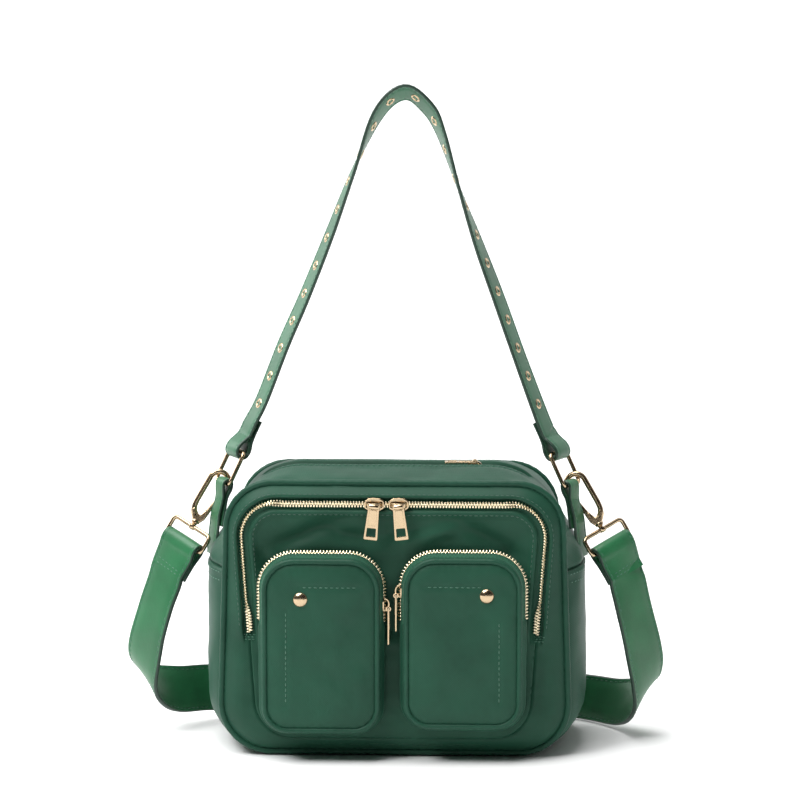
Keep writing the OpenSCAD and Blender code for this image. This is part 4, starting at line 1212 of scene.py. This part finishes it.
first = np.array(cross_left[0])
end_l = end_rows(22.0)
R_all = np.array(end_l + [[-153.6, -4.4, 117.5, 0.72, -0.68, -0.12]] + cross_left + cross_back + cross_right + [[152.6, -4.4, 117.5, -0.72, -0.68, 0.12]], float)
end_r = np.array(mirror_rows(end_l)[::-1], float)
R_all = np.vstack([R_all, end_r])
for i in range(1, len(R_all)):
    if R_all[i, 3:6] @ R_all[i - 1, 3:6] < 0:
        R_all[i, 3:6] *= -1
NR = 8
RA = route(R_all, NR)
prof, pm = strap_profile(CW, CT, groove=2.6)
v, f = sweep(RA[:, :3], prof, across=RA[:, 3:6], caps=True)
k = len(prof)
cutL = (len(end_l) + 2) * NR               # a row on each side where the end pieces meet the main strap
cutR = len(RA) - 1 - (len(end_l) + 2) * NR


def strap_part(name, i0, i1, body, reps, blend=None, stitched=True):
    g = Geo()
    seg = RA[i0:i1 + 1]
    vv, ff = sweep(RA[:, :3], prof, across=RA[:, 3:6], caps=False)
    vv = vv.reshape(len(RA), k, 3)[i0:i1 + 1].reshape(-1, 3)
    n = i1 - i0 + 1
    fs = grid_faces(n, k, closed_m=True)
    m = [pm[j % k] for j in range((n - 1) * k)]
    fs += [tuple(range(k)), tuple((n - 1) * k + j for j in range(k - 1, -1, -1))]
    g.add(vv, fs, m + [1, 1])
    edge_stitch(g, seg, CW, CT, inset=2.6, both=True, r=0.3, length=2.8, gap=1.2)
    if blend:
        # two stitched rows that hold the folded end
        T, A, B = frames(RA[:, :3], RA[:, 3:6])
        s = "left" if i0 == 0 else "right"
        for dz in (-17.5, -20.5):
            c = side(bar + outer * (3.6) + bz * dz, s)
            P0 = RA[i0:i1 + 1, :3]
            kk = int(np.argmin(np.linalg.norm(P0 + B[i0:i1 + 1] * 0 - c, axis=1)))
            P = P0[kk] + np.linspace(-CW / 2 + 3.5, CW / 2 - 3.5, 24)[:, None] * A[i0 + kk]
            nb = B[i0 + kk]
            if nb @ side(outer, s) < 0:
                nb = -nb
            stitches(g, P + nb * (CT / 2 + 0.02), nb, length=2.6, gap=1.1, r=0.3, m=2)
    return g.obj(name, body, [M_LEATHER, M_EDGE_PAINT_AND_HOLE_SHADE, M_THREAD], replaces=reps, blend=blend, sharp=60)


mid_l = tuple(RA[cutL][:3])
mid_r = tuple(RA[cutR][:3])
strap_part("crossbody_strap_leather", cutL, cutR, "bag", ["crossbody_strap"])
strap_part("left_strap_end_leather", 0, cutL, None, ["left_strap_end"], blend=("swivel_left", "bag", tuple(bar + bz * -6), mid_l))
strap_part("right_strap_end_leather", cutR, len(RA) - 1, None, ["right_strap_end"], blend=("swivel_right", "bag", tuple(side(bar + bz * -6, "right")), mid_r))

# side tabs: folded round the ring's lower bar, down to the side seam
for s in ("left", "right"):
    Rt = RZ(TURN)
    # loop round the bar, ahead of the hook
    w2 = [(-4.6, -28), (-3.0, -20), (-1.5, -12), (-0.3, -8), (2.2, -3.6), (3.0, 0.2), (2.0, 2.3), (0, 3.0), (-2.0, 2.3), (-3.1, 0.2), (-3.3, -3.6), (-3.3, -8), (-4.1, -12)]
    rows = [list(PIV + Rt @ np.array([x, -3.4, z])) + list(Rt @ np.array([0, -1.0, 0])) for x, z in w2]
    low_rows = [[-121.2, -4.6, 155, 0.48, -0.88, 0], [-122.2, -4.4, 147, 0.47, -0.88, 0], [-123.2, -4.2, 138, 0.46, -0.89, 0], [-124.0, -4.0, 131, 0.45, -0.89, 0], [-124.2, -4.0, 127.5, 0.45, -0.89, 0]]
    rr = np.array(rows + low_rows, float)
    rr[:, :3] = side(rr[:, :3], s)
    if s == "right":
        rr[:, 3] *= -1
    g = Geo()
    Rr = route(rr, 6)
    prof_t, pmt = strap_profile(12.4, 2.0, r=0.7, groove=1.8)
    T, A, B = frames(Rr[:, :3], Rr[:, 3:6])
    n = len(Rr)
    wid = np.interp(Rr[:, 2], [125, 140, 152, 162, 175], [1.15, 1.2, 1.15, 1.0, 1.0])
    vv = (Rr[:, None, :3] + A[:, None] * (prof_t[None, :, 0:1] * wid[:, None, None]) + B[:, None] * prof_t[None, :, 1:2]).reshape(-1, 3)
    kk = len(prof_t)
    fs = grid_faces(n, kk, closed_m=True)
    m = [pmt[j % kk] for j in range((n - 1) * kk)]
    fs += [tuple(range(kk)), tuple((n - 1) * kk + j for j in range(kk - 1, -1, -1))]
    g.add(vv, fs, m + [1, 1])
    for sd_ in (-1, 1):
        for u in (-1, 1):
            P = Rr[:, :3] + A * (sd_ * (6.2 * wid - 1.8)[:, None]) + B * u * 0.9
            stitches(g, P[66:], (B * u)[66:], length=2.3, gap=1.1, r=0.27, m=2)
    # a stitched bar under the ring
    c = side(PIV + Rt @ np.array([-4.6, -3.4, -9.5]), s)
    a = side(Rt @ np.array([0, 1.0, 0]), s)
    nn = side(Rt @ np.array([-1.0, 0, 0]), s)
    stitches(g, c + np.linspace(-3.9, 3.9, 10)[:, None] * a, nn, length=2.0, gap=0.8, r=0.28, m=2)
    g.obj(s + "_tab_leather", None, [M_LEATHER, M_EDGE_PAINT_AND_HOLE_SHADE, M_THREAD], replaces=[s + "_tab", s + "_tab_loop"], sharp=60,
          blend=("shoulder", "bag", tuple(side(PIV + np.array([0, 0, -6.0]), s)), tuple(side(np.array([-122.0, -3, 150.0]), s))))

# ------------------------------------------------------------------ CAD nodes kept inside the bag
for n, mt in (("lining", M_LINING), ("front_pocket_divider", M_LINING), ("base_board", M_BOARD)):
    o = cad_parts[n]
    if not o.material_slots:
        o.data.materials.append(mt)
    for sl in o.material_slots:
        sl.material = mt

# ------------------------------------------------------------------ floor, light, camera
me = bpy.data.meshes.new("floor")
S = 14.0
me.from_pydata([(-S, -S, 0), (S, -S, 0), (S, S, 0), (-S, S, 0)], [], [(0, 1, 2, 3)])
floor = bpy.data.objects.new("floor", me)
bpy.context.scene.collection.objects.link(floor)
m, nt, b = new_mat("pale_floor")
nz = node(nt, "ShaderNodeTexNoise", Scale=3.0, Detail=2.0)
nt.links.new(coords(nt), nz.inputs["Vector"])
nt.links.new(ramp(nt, nz.outputs["Fac"], [(0.3, (0.90, 0.90, 0.90)), (0.7, (0.92, 0.92, 0.92))]), b.inputs["Base Color"])
b.inputs["Roughness"].default_value = 0.9
b.inputs["Specular IOR Level"].default_value = 0.0
me.materials.append(m)

w = bpy.data.worlds.new("studio")
bpy.context.scene.world = w
w.use_nodes = True
nt = w.node_tree
bg = nt.nodes["Background"]
tc = node(nt, "ShaderNodeTexCoord")
sp = node(nt, "ShaderNodeSeparateXYZ")
nt.links.new(tc.outputs["Generated"], sp.inputs[0])
mr = node(nt, "ShaderNodeMapRange")
mr.inputs["From Min"].default_value = -0.3
mr.inputs["From Max"].default_value = 0.6
mr.inputs["To Min"].default_value = 0.03
mr.inputs["To Max"].default_value = 1.0
nt.links.new(sp.outputs["Y"], mr.inputs["Value"])
nt.links.new(mr.outputs["Result"], bg.inputs["Strength"])
bg.inputs["Color"].default_value = (1, 1, 1, 1)


def area(name, loc, target, size, power, size_y=None, col=(1, 1, 1)):
    l = bpy.data.lights.new(name, "AREA")
    l.energy = power
    l.shape = "RECTANGLE"
    l.size = size
    l.size_y = size_y or size
    l.color = col
    o = bpy.data.objects.new(name, l)
    o.location = loc
    d = Vector(target) - Vector(loc)
    o.rotation_euler = d.to_track_quat("-Z", "Y").to_euler()
    bpy.context.scene.collection.objects.link(o)
    return o


area("key_left", (-1.2, -1.2, 2.1), (0, 0, 0.15), 0.7, 27, 0.7)
area("rim_left", (-1.5, 0.9, 0.9), (0, 0, 0.15), 0.6, 8, 0.8)
sun = bpy.data.lights.new("top_sun", "SUN")
sun.energy = 3.8
sun.angle = math.radians(55)
so = bpy.data.objects.new("top_sun", sun)
so.rotation_euler = Vector((0.34, 0.10, -1.0)).to_track_quat("-Z", "Y").to_euler()
bpy.context.scene.collection.objects.link(so)

cam = bpy.data.cameras.new("camera")
cam.sensor_width = 36.0
cam.lens = 162.0
co = bpy.data.objects.new("camera", cam)
az, el, dist = math.radians(2.0), math.radians(9.0), 2.4
tgt = Vector((0.002, 0, 0.232))
back = Vector((math.sin(az) * math.cos(el), -math.cos(az) * math.cos(el), math.sin(el)))
co.location = tgt + back * dist
co.rotation_euler = (-back).to_track_quat("-Z", "Y").to_euler()
cam.clip_end = 100
bpy.context.scene.collection.objects.link(co)
bpy.context.scene.camera = co
bpy.context.scene.view_settings.view_transform = "Standard"
bpy.context.scene.view_settings.look = "None"
